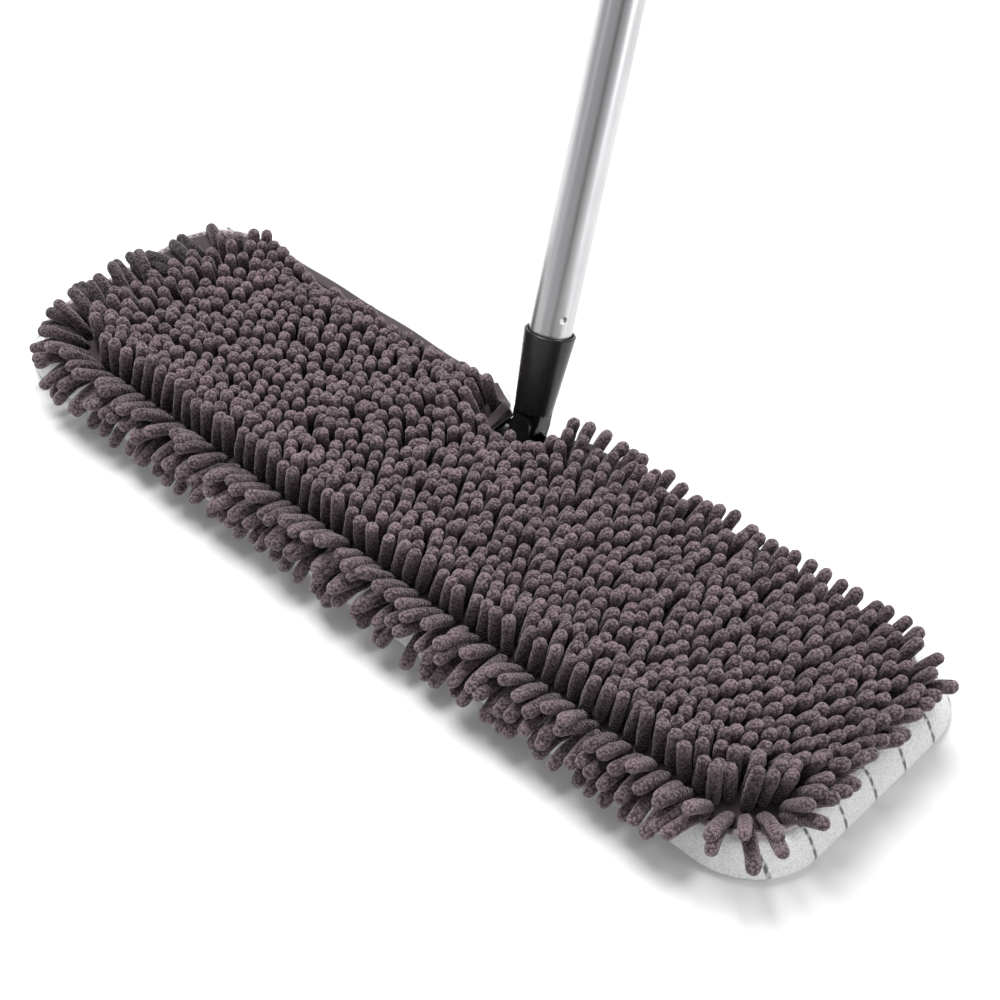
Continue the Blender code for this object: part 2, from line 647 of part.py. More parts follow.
PLASTIC_GREY = new_material("frame_plastic", (0.12, 0.12, 0.125), 0.55)
PLASTIC_BLACK = new_material("black_plastic", (0.012, 0.012, 0.013), 0.35)
STEEL = new_material("steel", (0.55, 0.55, 0.56), 0.3, 1.0)
ALUMINIUM = new_material("aluminium", (0.56, 0.56, 0.57), 0.32, 1.0)
RUBBER = new_material("rubber", (0.03, 0.03, 0.032), 0.7)
MICROFIBRE = new_material("microfibre", (0.82, 0.82, 0.82), 0.95)
CLOTH_MAUVE = new_material("cloth_mauve", (0.11, 0.085, 0.09), 0.9)
BINDING_PINK = new_material("binding", (0.42, 0.36, 0.37), 0.9)
TAPE_GREY = new_material("tape", (0.2, 0.2, 0.2), 0.95)
CHENILLE = new_material("chenille", (0.09, 0.072, 0.075), 0.95)

make_frame()
make_bracket()
make_screws()
make_flip_joint()
make_pad()
make_tapes()
make_cloth()
make_pile()

flip_axis = empty("flip_axis", (0.0, PIN_Y, PIN_Z), (-POLE_LEAN, 0.0, 0.0))
make_block(flip_axis)
swivel_axis = empty("swivel_axis", (0.0, 0.0, SWIVEL_STATION), (0.0, POLE_SIDE, 0.0), flip_axis)
pole_line = empty("pole_line", (0.0, 0.0, -SWIVEL_STATION), (0.0, 0.0, 0.0), swivel_axis)
make_socket(pole_line)
make_lower_tube(pole_line)
upper_line = empty("upper_line", (0.0, 0.0, LOCK_STATION), (0.0, 0.0, 0.0), pole_line)
make_upper_pole(upper_line)
make_lock_collar(upper_line)
bpy.context.view_layer.update()
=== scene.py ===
# %% [markdown]
# # Dressing a double-sided flat mop
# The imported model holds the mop's hard parts in one shared frame: the ribbed plate, the
# hinge, the pole. Soft parts are only plain solids there. This lesson gives each soft part
# its real surface and each hard part its finish. Lengths are in metres, and every new
# shape is worked out with numpy as whole arrays of points.

# %% Load the frame
import json
import math

import bmesh
import bpy
import numpy as np
from mathutils import Euler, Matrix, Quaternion, Vector

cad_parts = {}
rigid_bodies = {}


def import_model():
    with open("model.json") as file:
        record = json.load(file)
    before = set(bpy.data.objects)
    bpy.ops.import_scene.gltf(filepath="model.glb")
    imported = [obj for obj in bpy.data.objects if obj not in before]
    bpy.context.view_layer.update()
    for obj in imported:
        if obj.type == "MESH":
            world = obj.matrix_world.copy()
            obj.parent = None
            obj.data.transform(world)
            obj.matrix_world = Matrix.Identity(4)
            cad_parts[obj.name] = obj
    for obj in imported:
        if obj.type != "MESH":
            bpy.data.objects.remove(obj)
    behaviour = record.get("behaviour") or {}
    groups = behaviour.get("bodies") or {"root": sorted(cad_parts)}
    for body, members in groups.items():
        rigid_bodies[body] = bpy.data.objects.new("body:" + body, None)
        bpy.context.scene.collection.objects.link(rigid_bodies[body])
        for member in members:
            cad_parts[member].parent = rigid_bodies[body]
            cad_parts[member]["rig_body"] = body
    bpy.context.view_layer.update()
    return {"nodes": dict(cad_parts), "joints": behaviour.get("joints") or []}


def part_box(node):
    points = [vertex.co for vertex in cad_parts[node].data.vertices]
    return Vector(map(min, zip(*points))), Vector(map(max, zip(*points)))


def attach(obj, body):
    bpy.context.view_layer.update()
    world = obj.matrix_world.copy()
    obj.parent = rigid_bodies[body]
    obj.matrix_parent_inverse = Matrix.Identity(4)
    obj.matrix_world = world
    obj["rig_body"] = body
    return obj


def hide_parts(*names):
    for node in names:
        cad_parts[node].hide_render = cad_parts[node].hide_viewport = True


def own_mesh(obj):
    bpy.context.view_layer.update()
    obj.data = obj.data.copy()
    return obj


MM = 0.001
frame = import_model()
print("nodes in the frame:", len(frame["nodes"]))

# %% [markdown]
# ## Numbers read from the frame
# A new piece goes where the frame says its plain solid is. The head's layers, the plan of
# the cloth and the line of the pole all come from the boxes of those solids and from the
# joints, so nothing has to be fitted by eye.

# %% Places and sizes from the frame
def box(node):
    """Lowest and highest corner of a node as two numpy arrays."""
    low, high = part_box(node)
    return np.array(low), np.array(high)


joints = {joint["name"]: joint for joint in frame["joints"]}
PIN = np.array(joints["head_flip"]["pos_m"])
SWIVEL = np.array(joints["side_swivel"]["pos_m"])
ALONG_POLE = np.array(joints["pole_extend"]["axis"])
CLOTH_LOW, CLOTH_HIGH = box("chenille_base")
PAD_LOW, PAD_HIGH = box("microfibre_pad")
FRAME_LOW, FRAME_HIGH = box("frame_plate")
BINDING_LOW, BINDING_HIGH = box("edge_binding")
NOTCH_LOW, NOTCH_HIGH = box("notch_binding")
CLOTH_TOP = CLOTH_HIGH[2]
print("head %.0f x %.0f mm" % tuple((PAD_HIGH - PAD_LOW)[:2] / MM))

# %% [markdown]
# ## The camera
# The mop is seen from above its front edge, with the right-hand end nearest. A long lens
# keeps the perspective mild, and a small roll levels the head.

# %% Camera
CAMERA_AZIMUTH = math.radians(42.5)
CAMERA_ELEVATION = math.radians(44.0)
CAMERA_ROLL = math.radians(1.2)
CAMERA_DISTANCE = 1.0
CAMERA_LENS = 71.7
CAMERA_TARGET = Vector((0.0155, 0.0198, 0.0072))
towards_camera = Vector((
    math.sin(CAMERA_AZIMUTH) * math.cos(CAMERA_ELEVATION),
    -math.cos(CAMERA_AZIMUTH) * math.cos(CAMERA_ELEVATION),
    math.sin(CAMERA_ELEVATION),
))
camera = bpy.data.objects.new("camera", bpy.data.cameras.new("camera"))
camera.data.lens = CAMERA_LENS
camera.data.sensor_width = 36.0
camera.data.clip_start = 0.05
camera.location = CAMERA_TARGET + towards_camera * CAMERA_DISTANCE
camera.rotation_mode = "QUATERNION"
camera.rotation_quaternion = (
    (-towards_camera).to_track_quat("-Z", "Y") @ Quaternion((0, 0, 1), CAMERA_ROLL)
)
bpy.context.scene.collection.objects.link(camera)
bpy.context.scene.camera = camera
print("camera at", [round(v, 3) for v in camera.location])

# %% [markdown]
# ## Meshes from arrays
# Almost every piece below is a grid of points bent into shape. One helper turns a grid
# into quads, another makes the object, checks that a closed surface points outwards, and
# lets it ride on its body.

# %% Grid and piece helpers
def grid_faces(rows, cols, wrap_cols=False, wrap_rows=False):
    """Quads of a grid whose point (i, j) is number i * cols + j. Wrapping joins the last
    column, or the last row, to the first."""
    i, j = np.meshgrid(
        np.arange(rows if wrap_rows else rows - 1),
        np.arange(cols if wrap_cols else cols - 1),
        indexing="ij",
    )
    down, right = (i + 1) % rows, (j + 1) % cols
    quads = np.stack([i * cols + j, i * cols + right, down * cols + right, down * cols + j], -1)
    return quads.reshape(-1, 4)


def signed_volume(points, faces):
    """Volume inside closed faces: a sixth of the sum of a . (b x c) over fans of
    triangles. It is negative when the faces point inwards."""
    total = 0.0
    for group in faces:
        a = points[group[:, 0]]
        for k in range(1, group.shape[1] - 1):
            total += (a * np.cross(points[group[:, k]], points[group[:, k + 1]])).sum()
    return total / 6


def make_piece(name, points, faces, material, slot, body="head", attributes=None, closed=True):
    """A mesh object from points (n, 3) and groups of faces with equal corner counts."""
    points = np.asarray(points, float).reshape(-1, 3)
    if closed and signed_volume(points, faces) < 0:
        faces = [group[:, ::-1] for group in faces]
    mesh = bpy.data.meshes.new(name)
    mesh.from_pydata(points.tolist(), [], [face for group in faces for face in group.tolist()])
    mesh.validate()
    mesh.shade_smooth()
    for key, values in (attributes or {}).items():
        layer = mesh.attributes.new(key, "FLOAT", "POINT")
        layer.data.foreach_set("value", np.asarray(values, np.float32).ravel())
    mesh.materials.append(material)
    piece = bpy.data.objects.new(name, mesh)
    bpy.context.scene.collection.objects.link(piece)
    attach(piece, body)
    print("%s: %d points, %d faces" % (name, len(mesh.vertices), len(mesh.polygons)))
    return piece


def smoothstep(value, start=0.0, end=1.0):
    """0 before start, 1 after end, and 3t^2 - 2t^3 between them."""
    t = np.clip((value - start) / (end - start), 0, 1)
    return t * t * (3 - 2 * t)


# %% [markdown]
# ## Studio
# A pale floor and soft light. The tube is polished metal, so it shows whatever stands
# around it: a dark card behind the camera gives it the grey band down its middle, and
# tall soft lights on both sides give it its bright flanks. The cards only show in
# reflections.

# %% Floor, cards and lights
def stand(name, data, centre, facing, front):
    """An object at one point, turned so that its front axis looks at another point."""
    thing = bpy.data.objects.new(name, data)
    thing.location = centre
    thing.rotation_mode = "QUATERNION"
    thing.rotation_quaternion = (Vector(facing) - Vector(centre)).to_track_quat(front, "Y")
    bpy.context.scene.collection.objects.link(thing)
    return thing


def flat_card(name, centre, facing, width, height, colour):
    """A rectangle that faces a point, for the studio only."""
    material = bpy.data.materials.new(name)
    material.use_nodes = True
    shader = material.node_tree.nodes["Principled BSDF"]
    shader.inputs["Base Color"].default_value = (*colour, 1)
    shader.inputs["Roughness"].default_value = 0.9
    corners = np.array([[-1, -1, 0], [1, -1, 0], [1, 1, 0], [-1, 1, 0]]) * 0.5
    mesh = bpy.data.meshes.new(name)
    mesh.from_pydata((corners * (width, height, 1)).tolist(), [], [(0, 1, 2, 3)])
    mesh.materials.append(material)
    card = stand(name, mesh, centre, facing, "Z")
    return card


def soft_light(name, centre, facing, width, height, watts):
    """A rectangular area light that faces a point."""
    light = bpy.data.lights.new(name, "AREA")
    light.shape = "RECTANGLE"
    light.size, light.size_y = width, height
    light.energy = watts
    return stand(name, light, centre, facing, "-Z")


FLOOR_SIZE = 14
FLOOR_DROP = 0.2 * MM
PALE, DARK = (0.9, 0.9, 0.9), (0.02, 0.02, 0.02)
LIGHTS = (
    # name, place, point it faces, width, height, watts
    ("key_light", (-0.7, 0.3, 2.2), (0, 0, 0), 1.5, 1.5, 68),
    ("right_light", (2.0, 0.5, 0.8), (0, 0, 0.2), 0.7, 1.8, 15),
    ("left_light", (-0.9, -1.9, 0.9), (0, 0, 0.2), 0.25, 1.8, 1.2),
)
SKY_COLOUR = (0.97, 0.985, 1.0, 1)
SKY_STRENGTH = 0.42

flat_card("floor", (0, 0, -FLOOR_DROP), (0, 0, 1), FLOOR_SIZE, FLOOR_SIZE, PALE)
dark_card = flat_card("dark_card", (1.75, -1.85, 0.35), (0, 0, 0.3), 0.75, 2.2, DARK)
dark_card.visible_camera = dark_card.visible_diffuse = dark_card.visible_shadow = False
for row in LIGHTS:
    soft_light(*row)

world = bpy.data.worlds.new("studio")
world.use_nodes = True
bpy.context.scene.world = world
background = world.node_tree.nodes["Background"]
background.inputs["Color"].default_value = SKY_COLOUR
background.inputs["Strength"].default_value = SKY_STRENGTH
bpy.context.scene.view_settings.view_transform = "Standard"

# %% [markdown]
# ## Shader groups
# Effects that several finishes share are node groups. `fuzz_cells` is the pimpled surface
# of cut pile, `woven_threads` is a plain weave, `colour_drift` is the slow change of tone
# that dyed cloth has, and `fine_scuffs` is the grain and wear of moulded plastic.

# %% Node helpers
def group(name, inputs, outputs):
    """A new shader group with float inputs {name: default} and outputs {name: type}."""
    tree = bpy.data.node_groups.new(name, "ShaderNodeTree")
    for key, value in inputs.items():
        socket = tree.interface.new_socket(key, in_out="INPUT", socket_type="NodeSocketFloat")
        socket.default_value = value
    for key, kind in outputs.items():
        tree.interface.new_socket(key, in_out="OUTPUT", socket_type=kind)
    return tree, tree.nodes.new("NodeGroupInput").outputs, tree.nodes.new("NodeGroupOutput").inputs


def feed(tree, target, value):
    """Link a socket into a target, or set the target to a plain value."""
    if isinstance(value, bpy.types.NodeSocket):
        tree.links.new(value, target)
    else:
        target.default_value = value


def maths(tree, operation, *values):
    """One Math node, or a chain of sockets and numbers through it."""
    node = tree.nodes.new("ShaderNodeMath")
    node.operation = operation
    for socket, value in zip(node.inputs, values):
        feed(tree, socket, value)
    return node.outputs[0]


def object_point(tree):
    """The point on the piece, in metres."""
    return tree.nodes.new("ShaderNodeTexCoord").outputs["Object"]


def noise(tree, vector, scale, detail=2.0, roughness=0.5):
    """Fractal noise between 0 and 1."""
    node = tree.nodes.new("ShaderNodeTexNoise")
    for key, value in (("Vector", vector), ("Scale", scale), ("Detail", detail),
                       ("Roughness", roughness)):
        feed(tree, node.inputs[key], value)
    return node.outputs["Fac"]


def scaled(tree, vector, factors):
    """A vector times three factors."""
    node = tree.nodes.new("ShaderNodeVectorMath")
    node.operation = "MULTIPLY"
    feed(tree, node.inputs[0], vector)
    node.inputs[1].default_value = factors
    return node.outputs[0]


def remap(tree, value, low, high, to_low=0.0, to_high=1.0):
    """Map Range, clamped."""
    node = tree.nodes.new("ShaderNodeMapRange")
    for socket, number in zip(node.inputs, (value, low, high, to_low, to_high)):
        feed(tree, socket, number)
    return node.outputs["Result"]


def mix_colour(tree, factor, first, second, blend="MIX"):
    """Mix two colours, each a socket or three numbers."""
    node = tree.nodes.new("ShaderNodeMix")
    node.data_type = "RGBA"
    node.blend_type = blend
    feed(tree, node.inputs["Factor"], factor)
    for key, colour in (("A", first), ("B", second)):
        socket = [s for s in node.inputs if s.name == key and s.type == "RGBA"][0]
        feed(tree, socket, colour if isinstance(colour, bpy.types.NodeSocket) else (*colour, 1))
    return [s for s in node.outputs if s.type == "RGBA"][0]


def bump(tree, height, strength, distance):
    """The normal that a height gives, its distance in metres."""
    node = tree.nodes.new("ShaderNodeBump")
    node.inputs["Strength"].default_value = strength
    node.inputs["Distance"].default_value = distance
    tree.links.new(height, node.inputs["Height"])
    return node.outputs["Normal"]


def principled(name, roughness, **values):
    """A material with a Principled shader, its fixed values set straight on its sockets."""
    material = bpy.data.materials.new(name)
    material.use_nodes = True
    shader = material.node_tree.nodes["Principled BSDF"]
    shader.inputs["Roughness"].default_value = roughness
    for key, value in values.items():
        shader.inputs[key.replace("_", " ")].default_value = value
    return material, material.node_tree, shader.inputs


def place(tree, shared, **values):
    """Put a shared group in a material, with its own values."""
    node = tree.nodes.new("ShaderNodeGroup")
    node.node_tree = shared
    for key, value in values.items():
        feed(tree, node.inputs[key.replace("_", " ")], value)
    return node.outputs


# %% Shared groups
def build_fuzz_cells():
    """Rounded cells, each a tuft of fibre ends: height is one minus the distance to the
    cell's middle, roughened by fine noise. Gaps is 0 between cells and 1 on them, and the
    finishes use it to paint shade between the cells."""
    tree, given, out = group("fuzz_cells", {"Scale": 700.0}, {"Height": "NodeSocketFloat",
                                                              "Gaps": "NodeSocketFloat"})
    point = object_point(tree)
    cells = tree.nodes.new("ShaderNodeTexVoronoi")
    tree.links.new(point, cells.inputs["Vector"])
    tree.links.new(given["Scale"], cells.inputs["Scale"])
    fibres = noise(tree, point, maths(tree, "MULTIPLY", given["Scale"], 3.1), 2.0, 0.6)
    mound = remap(tree, cells.outputs["Distance"], 0.05, 0.75, 1.0, 0.0)
    tree.links.new(maths(tree, "MULTIPLY_ADD", fibres, 0.55, mound), out["Height"])
    tree.links.new(remap(tree, cells.outputs["Distance"], 0.38, 0.72, 1.0, 0.0), out["Gaps"])
    return tree


def build_colour_drift():
    """Slow noise between 0 and 1 about patches of 1 / Scale metres."""
    tree, given, out = group("colour_drift", {"Scale": 30.0}, {"Drift": "NodeSocketFloat"})
    slow = noise(tree, object_point(tree), given["Scale"], 3.0, 0.6)
    tree.links.new(remap(tree, slow, 0.3, 0.7), out["Drift"])
    return tree


def build_woven_threads():
    """Plain weave: over and under threads as a product of two sines, along X and Y."""
    tree, given, out = group("woven_threads", {"Threads": 1400.0}, {"Height": "NodeSocketFloat"})
    parts = tree.nodes.new("ShaderNodeSeparateXYZ")
    tree.links.new(object_point(tree), parts.inputs[0])
    turns = maths(tree, "MULTIPLY", given["Threads"], 2 * math.pi)
    across = maths(tree, "ADD", parts.outputs["Y"], parts.outputs["Z"])
    waves = [maths(tree, "SINE", maths(tree, "MULTIPLY", axis, turns))
             for axis in (parts.outputs["X"], across)]
    weave = maths(tree, "MULTIPLY", *waves)
    tree.links.new(remap(tree, weave, -1.0, 1.0), out["Height"])
    return tree


def build_fine_scuffs():
    """Moulded grain as fine noise, and long faint scratches as stretched noise."""
    tree, given, out = group("fine_scuffs", {"Scale": 900.0}, {"Grain": "NodeSocketFloat",
                                                               "Wear": "NodeSocketFloat"})
    point = object_point(tree)
    tree.links.new(noise(tree, point, given["Scale"], 2.0, 0.5), out["Grain"])
    long_way = noise(tree, scaled(tree, point, (1.0, 1.0, 0.12)), 420.0, 3.0, 0.7)
    patches = noise(tree, point, 60.0, 2.0, 0.6)
    wear = maths(tree, "MULTIPLY", remap(tree, long_way, 0.52, 0.72), remap(tree, patches, 0.4, 0.7))
    tree.links.new(wear, out["Wear"])
    return tree


FUZZ_CELLS = build_fuzz_cells()
COLOUR_DRIFT = build_colour_drift()
WOVEN_THREADS = build_woven_threads()
FINE_SCUFFS = build_fine_scuffs()
print("shared groups:", [tree.name for tree in bpy.data.node_groups])

# %% [markdown]
# ## Chenille
# A chenille noodle is a cord with short pile all round it, so its surface is a crowd of
# small soft pimples. The pimples catch the light and the gaps between them stay dark. The
# noodle is darkest at its root, where little light gets in, and no two were dyed alike.

# %% Chenille finish
END_FROM, END_FULL = -222 * MM, -242 * MM
END_SHARE = 0.75
END_COLOUR = (0.045, 0.048, 0.046)


def chenille_finish(name, tip, root):
    """Fuzzy pile: colour runs from root to tip along the noodle, the dark root being painted
    shade, then is lowered by painted shade in the gaps between tufts and turned up or down
    by each noodle's own tone. From END_FROM to END_FULL, at the left end, it turns darker
    and greyer."""
    material, tree, shader = principled(name, 0.92, Sheen_Weight=0.55, Sheen_Roughness=0.45,
                                        Sheen_Tint=(0.80, 0.67, 0.71, 1.0),
                                        Specular_IOR_Level=0.2)
    cells = place(tree, FUZZ_CELLS, Scale=760.0)
    drift = place(tree, COLOUR_DRIFT, Scale=22.0)
    along, tone = (tree.nodes.new("ShaderNodeAttribute") for _ in range(2))
    along.attribute_name, tone.attribute_name = "along", "tone"
    # The near-black root colour is painted shade at the foot of each noodle.
    colour = mix_colour(tree, remap(tree, along.outputs["Fac"], 0.15, 1.0), root, tip)
    # Painted shade in the gaps between tufts.
    gap = maths(tree, "MULTIPLY_ADD", cells["Gaps"], 0.8, 0.25)
    own = maths(tree, "MULTIPLY_ADD", tone.outputs["Fac"], 0.42, 0.74)
    place_x = tree.nodes.new("ShaderNodeSeparateXYZ")
    tree.links.new(object_point(tree), place_x.inputs[0])
    # Share of the darker, greyer end colour, rising towards the left end.
    shifted_tone = remap(tree, place_x.outputs["X"], END_FROM, END_FULL, 0.0, END_SHARE)
    colour = mix_colour(tree, shifted_tone, colour, END_COLOUR)
    slow = maths(tree, "MULTIPLY_ADD", drift["Drift"], 0.2, 0.9)
    light = maths(tree, "MULTIPLY", maths(tree, "MULTIPLY", gap, own), slow)
    grey = tree.nodes.new("ShaderNodeCombineColor")
    for socket in grey.inputs:
        tree.links.new(light, socket)
    tree.links.new(mix_colour(tree, 1.0, colour, grey.outputs[0], "MULTIPLY"), shader["Base Color"])
    tree.links.new(bump(tree, cells["Height"], 0.9, 0.7 * MM), shader["Normal"])
    return material


# The second colour, near black, is painted shade at the roots.
CHENILLE = chenille_finish("chenille", (0.215, 0.158, 0.173), (0.012, 0.0075, 0.009))
print("finish:", CHENILLE.name)

# %% [markdown]
# ## One function for every noodle
# Each noodle is a round cord with a domed tip. Its lean from the vertical grows evenly
# along it, so its middle line is part of a circle, which has a closed formula and needs no
# loop. Rings of points go round that line, and a domed tip closes it.

# %% Noodle surface
NOODLE_RADIUS = 3.3 * MM
RADIUS_SPREAD = 0.12 * MM
NOODLE_SIDES = 9
BODY_RINGS = 5
DOME_HEIGHTS = (0.45, 0.12)


def noodle_mesh(roots, heading, lean, curl, length, radius, rng):
    """Points, faces and the attributes along and tone of many noodles at once.

    At share s of its length a noodle leans lean + curl * s from the vertical, towards
    heading. Its middle line is the integral of that direction: (cos(lean) - cos(now)) /
    curl outwards and (sin(now) - sin(lean)) / curl upwards, times the length. The radius
    is full up to one radius below the tip, and then follows a circle."""
    count = len(roots)
    curl = np.where(np.abs(curl) < 0.01, 0.01, curl)
    length, radius = length[:, None], radius[:, None]
    below_tip = radius + (length - radius) * np.linspace(1, 0, BODY_RINGS)
    below_tip = np.concatenate([below_tip] + [radius * h for h in DOME_HEIGHTS], axis=1)
    share = 1 - below_tip / length
    now = lean[:, None] + curl[:, None] * share
    out = length * (np.cos(lean)[:, None] - np.cos(now)) / curl[:, None]
    up = length * (np.sin(now) - np.sin(lean)[:, None]) / curl[:, None]
    across, upwards = np.cos(heading)[:, None], np.sin(heading)[:, None]
    line = np.stack([out * across, out * upwards, up], -1) + roots[:, None, :]
    normal = np.stack([np.cos(now) * across, np.cos(now) * upwards, -np.sin(now)], -1)
    side = np.stack([-upwards + 0 * now, across + 0 * now, 0 * now], -1)
    width = radius * np.sqrt(1 - (1 - np.minimum(below_tip / radius, 1)) ** 2)
    width[:, 0] *= 0.8

    rings = below_tip.shape[1]
    angle = np.arange(NOODLE_SIDES) * 2 * np.pi / NOODLE_SIDES + rng.uniform(0, 6.3, (count, 1, 1))
    lumps = rng.uniform(0.93, 1.07, (count, rings, NOODLE_SIDES))
    reach = (width[:, :, None] * lumps)[..., None]
    points = line[:, :, None, :] + reach * (
        np.cos(angle)[..., None] * normal[:, :, None, :]
        + np.sin(angle)[..., None] * side[:, :, None, :]
    )
    last = lean + curl
    ends = np.stack([
        length[:, 0] * (np.cos(lean) - np.cos(last)) / curl * np.cos(heading),
        length[:, 0] * (np.cos(lean) - np.cos(last)) / curl * np.sin(heading),
        length[:, 0] * (np.sin(last) - np.sin(lean)) / curl,
    ], -1) + roots
    points = np.concatenate([points.reshape(count, -1, 3), ends[:, None, :]], axis=1)

    per_noodle = rings * NOODLE_SIDES + 1
    start = (np.arange(count) * per_noodle)[:, None, None]
    quads = (start + grid_faces(rings, NOODLE_SIDES, wrap_cols=True)).reshape(-1, 4)
    rim = (rings - 1) * NOODLE_SIDES + np.arange(NOODLE_SIDES)
    dome = np.stack([rim, (rings - 1) * NOODLE_SIDES + (np.arange(NOODLE_SIDES) + 1) % NOODLE_SIDES,
                     np.full(NOODLE_SIDES, per_noodle - 1)], -1)
    domes = (start + dome).reshape(-1, 3)
    bases = start[:, :, 0] + np.arange(NOODLE_SIDES)[::-1]
    along = np.concatenate([np.repeat(share, NOODLE_SIDES, axis=1), np.ones((count, 1))], axis=1)
    tone = np.repeat(rng.uniform(0, 1, (count, 1)), per_noodle, axis=1)
    return points.reshape(-1, 3), [quads, domes, bases], {"along": along, "tone": tone}


# %% [markdown]
# ## The standing pile
# The noodles are sewn to the cloth in staggered rows. They are all combed towards the
# right, and on the left half towards the front too. Along the front edge they stand up
# again and part from the fringe, on the right they lean over the back edge, and at the
# left end they lean outwards. Beside the hinge they are pulled to the left, which takes
# those on its left side away from the pole.

# %% Lattice of roots
ROW_PITCH = 6.6 * MM
NOODLE_PITCH = 8.0 * MM
PILE_LOW, PILE_HIGH = box("chenille_pile")
PILE_LEFT = PILE_LOW[0] + 25 * MM
PILE_CORNER = 26 * MM
ROOT_SCATTER = 0.4 * MM
END_GAP = 2 * MM
NOTCH_CLEAR = np.array([22.5 * MM, NOTCH_LOW[1] - 0.5 * MM])
MOUTH_START = 55 * MM
MOUTH_FLARE = 0.22


def drift_field(x, y, rng, wave=70 * MM, count=7):
    """Smooth random field about -1 to 1: a sum of sines in random directions."""
    turn, phase = rng.uniform(0, 2 * np.pi, (2, count))
    step = 2 * np.pi / (wave * rng.uniform(0.6, 1.8, count))
    waves = np.sin(np.multiply.outer(x, step * np.cos(turn)) + np.multiply.outer(y, step * np.sin(turn))
                   + phase)
    return waves.sum(-1) / np.sqrt(count)


def pile_roots(rng):
    """Staggered lattice inside the pile's outline, without the corners and the notch."""
    inset = NOODLE_RADIUS + 0.5 * MM
    rows = np.arange(PILE_LOW[1] + inset, PILE_HIGH[1] - 0.5 * MM, ROW_PITCH)
    columns = np.arange(PILE_LEFT, PILE_HIGH[0] - inset, NOODLE_PITCH)
    x, y = np.meshgrid(columns, rows)
    x = x + np.where(np.arange(len(rows)) % 2, NOODLE_PITCH / 2, 0)[:, None]
    x, y = ((line + rng.normal(0, ROOT_SCATTER, x.shape)).ravel() for line in (x, y))
    radius = PILE_CORNER
    past_x = np.maximum(x - (PILE_HIGH[0] - radius), 0) + np.maximum(PILE_LEFT + radius - x, 0)
    past_y = np.maximum(PILE_LOW[1] + radius - y, 0) + np.maximum(y - PILE_HIGH[1] + radius, 0)
    inside = np.hypot(past_x, past_y) < radius - END_GAP
    mouth = NOTCH_CLEAR[0] + MOUTH_FLARE * np.maximum(y - MOUTH_START, 0)
    clear = (np.abs(x) > mouth) | (y < NOTCH_CLEAR[1])
    keep = inside & clear & (x < PILE_HIGH[0] - END_GAP)
    return x[keep], y[keep]


# Each zone is a pair: where it begins, and where it is complete.
RIGHT_ZONE, RIGHT_END_ZONE = (-70 * MM, 60 * MM), (205 * MM, 240 * MM)
LEFT_END_ZONE, LEFT_CORNER_ZONE = (190 * MM, 214 * MM), (180 * MM, 212 * MM)
FRONT_ZONE, BACK_ZONE, BACK_HALF_ZONE = (34 * MM, 58 * MM), (38 * MM, 60 * MM), (20 * MM, 50 * MM)
HINGE_ZONE, BEFORE_HINGE_ZONE = (22 * MM, 36 * MM), (14 * MM, 34 * MM)
HINGE_SIDE, HINGE_REACH, BEFORE_REACH = 28 * MM, 14 * MM, 26 * MM
# Leans in radians, towards the right and towards the back.
COMBED_RIGHT, COMBED_LEFT = (0.30, -0.01), (0.24, -0.24)
FRONT_STRAIGHTENED, FRONT_LEAN = 0.7, 0.16
LEFT_END_LEAN, LEFT_END_EASED, RIGHT_END_LEAN = 0.55, 0.2, 0.05
BACK_RIGHT_LEAN, BACK_LEFT_LEAN, LEFT_CORNER_LEAN = 0.42, 0.12, 0.45
HINGE_LEAN_LEFT, HINGE_LEAN_RIGHT, BEFORE_HINGE_LEAN = 0.52, 0.24, 0.08
LEAN_DRIFT, LEAN_SPREAD = 0.08, 0.05


def combed(x, y, rng):
    """Lean of each noodle in radians, as its X and Y parts: for each zone, the share of it
    that reaches the noodle times the zone's own lean, and then a random part."""
    right = smoothstep(x, *RIGHT_ZONE)
    left = 1 - right
    front = smoothstep(-y, *FRONT_ZONE)
    back_half = smoothstep(y, *BACK_HALF_ZONE)
    lean_x = right * COMBED_RIGHT[0] + left * COMBED_LEFT[0]
    lean_y = right * COMBED_RIGHT[1] + left * COMBED_LEFT[1]
    lean_x = lean_x * (1 - FRONT_STRAIGHTENED * front)
    lean_y = lean_y * (1 - FRONT_STRAIGHTENED * front) + FRONT_LEAN * front
    lean_x -= (LEFT_END_LEAN - LEFT_END_EASED * back_half) * smoothstep(-x, *LEFT_END_ZONE)
    lean_x += RIGHT_END_LEAN * smoothstep(x, *RIGHT_END_ZONE)
    lean_y += (BACK_RIGHT_LEAN * right - BACK_LEFT_LEAN * left) * smoothstep(y, *BACK_ZONE)
    lean_y += LEFT_CORNER_LEAN * smoothstep(-x, *LEFT_CORNER_ZONE) * back_half
    beside = np.exp(-((np.abs(x) - HINGE_SIDE) / HINGE_REACH) ** 2) * smoothstep(y, *HINGE_ZONE)
    lean_x -= np.where(x < 0, HINGE_LEAN_LEFT, HINGE_LEAN_RIGHT) * beside
    before = np.exp(-(x / BEFORE_REACH) ** 2) * smoothstep(y, *BEFORE_HINGE_ZONE)
    lean_y -= BEFORE_HINGE_LEAN * before
    lean_x += LEAN_DRIFT * drift_field(x, y, rng) + rng.normal(0, LEAN_SPREAD, x.shape)
    lean_y += LEAN_DRIFT * drift_field(x, y, rng) + rng.normal(0, LEAN_SPREAD, x.shape)
    return lean_x, lean_y


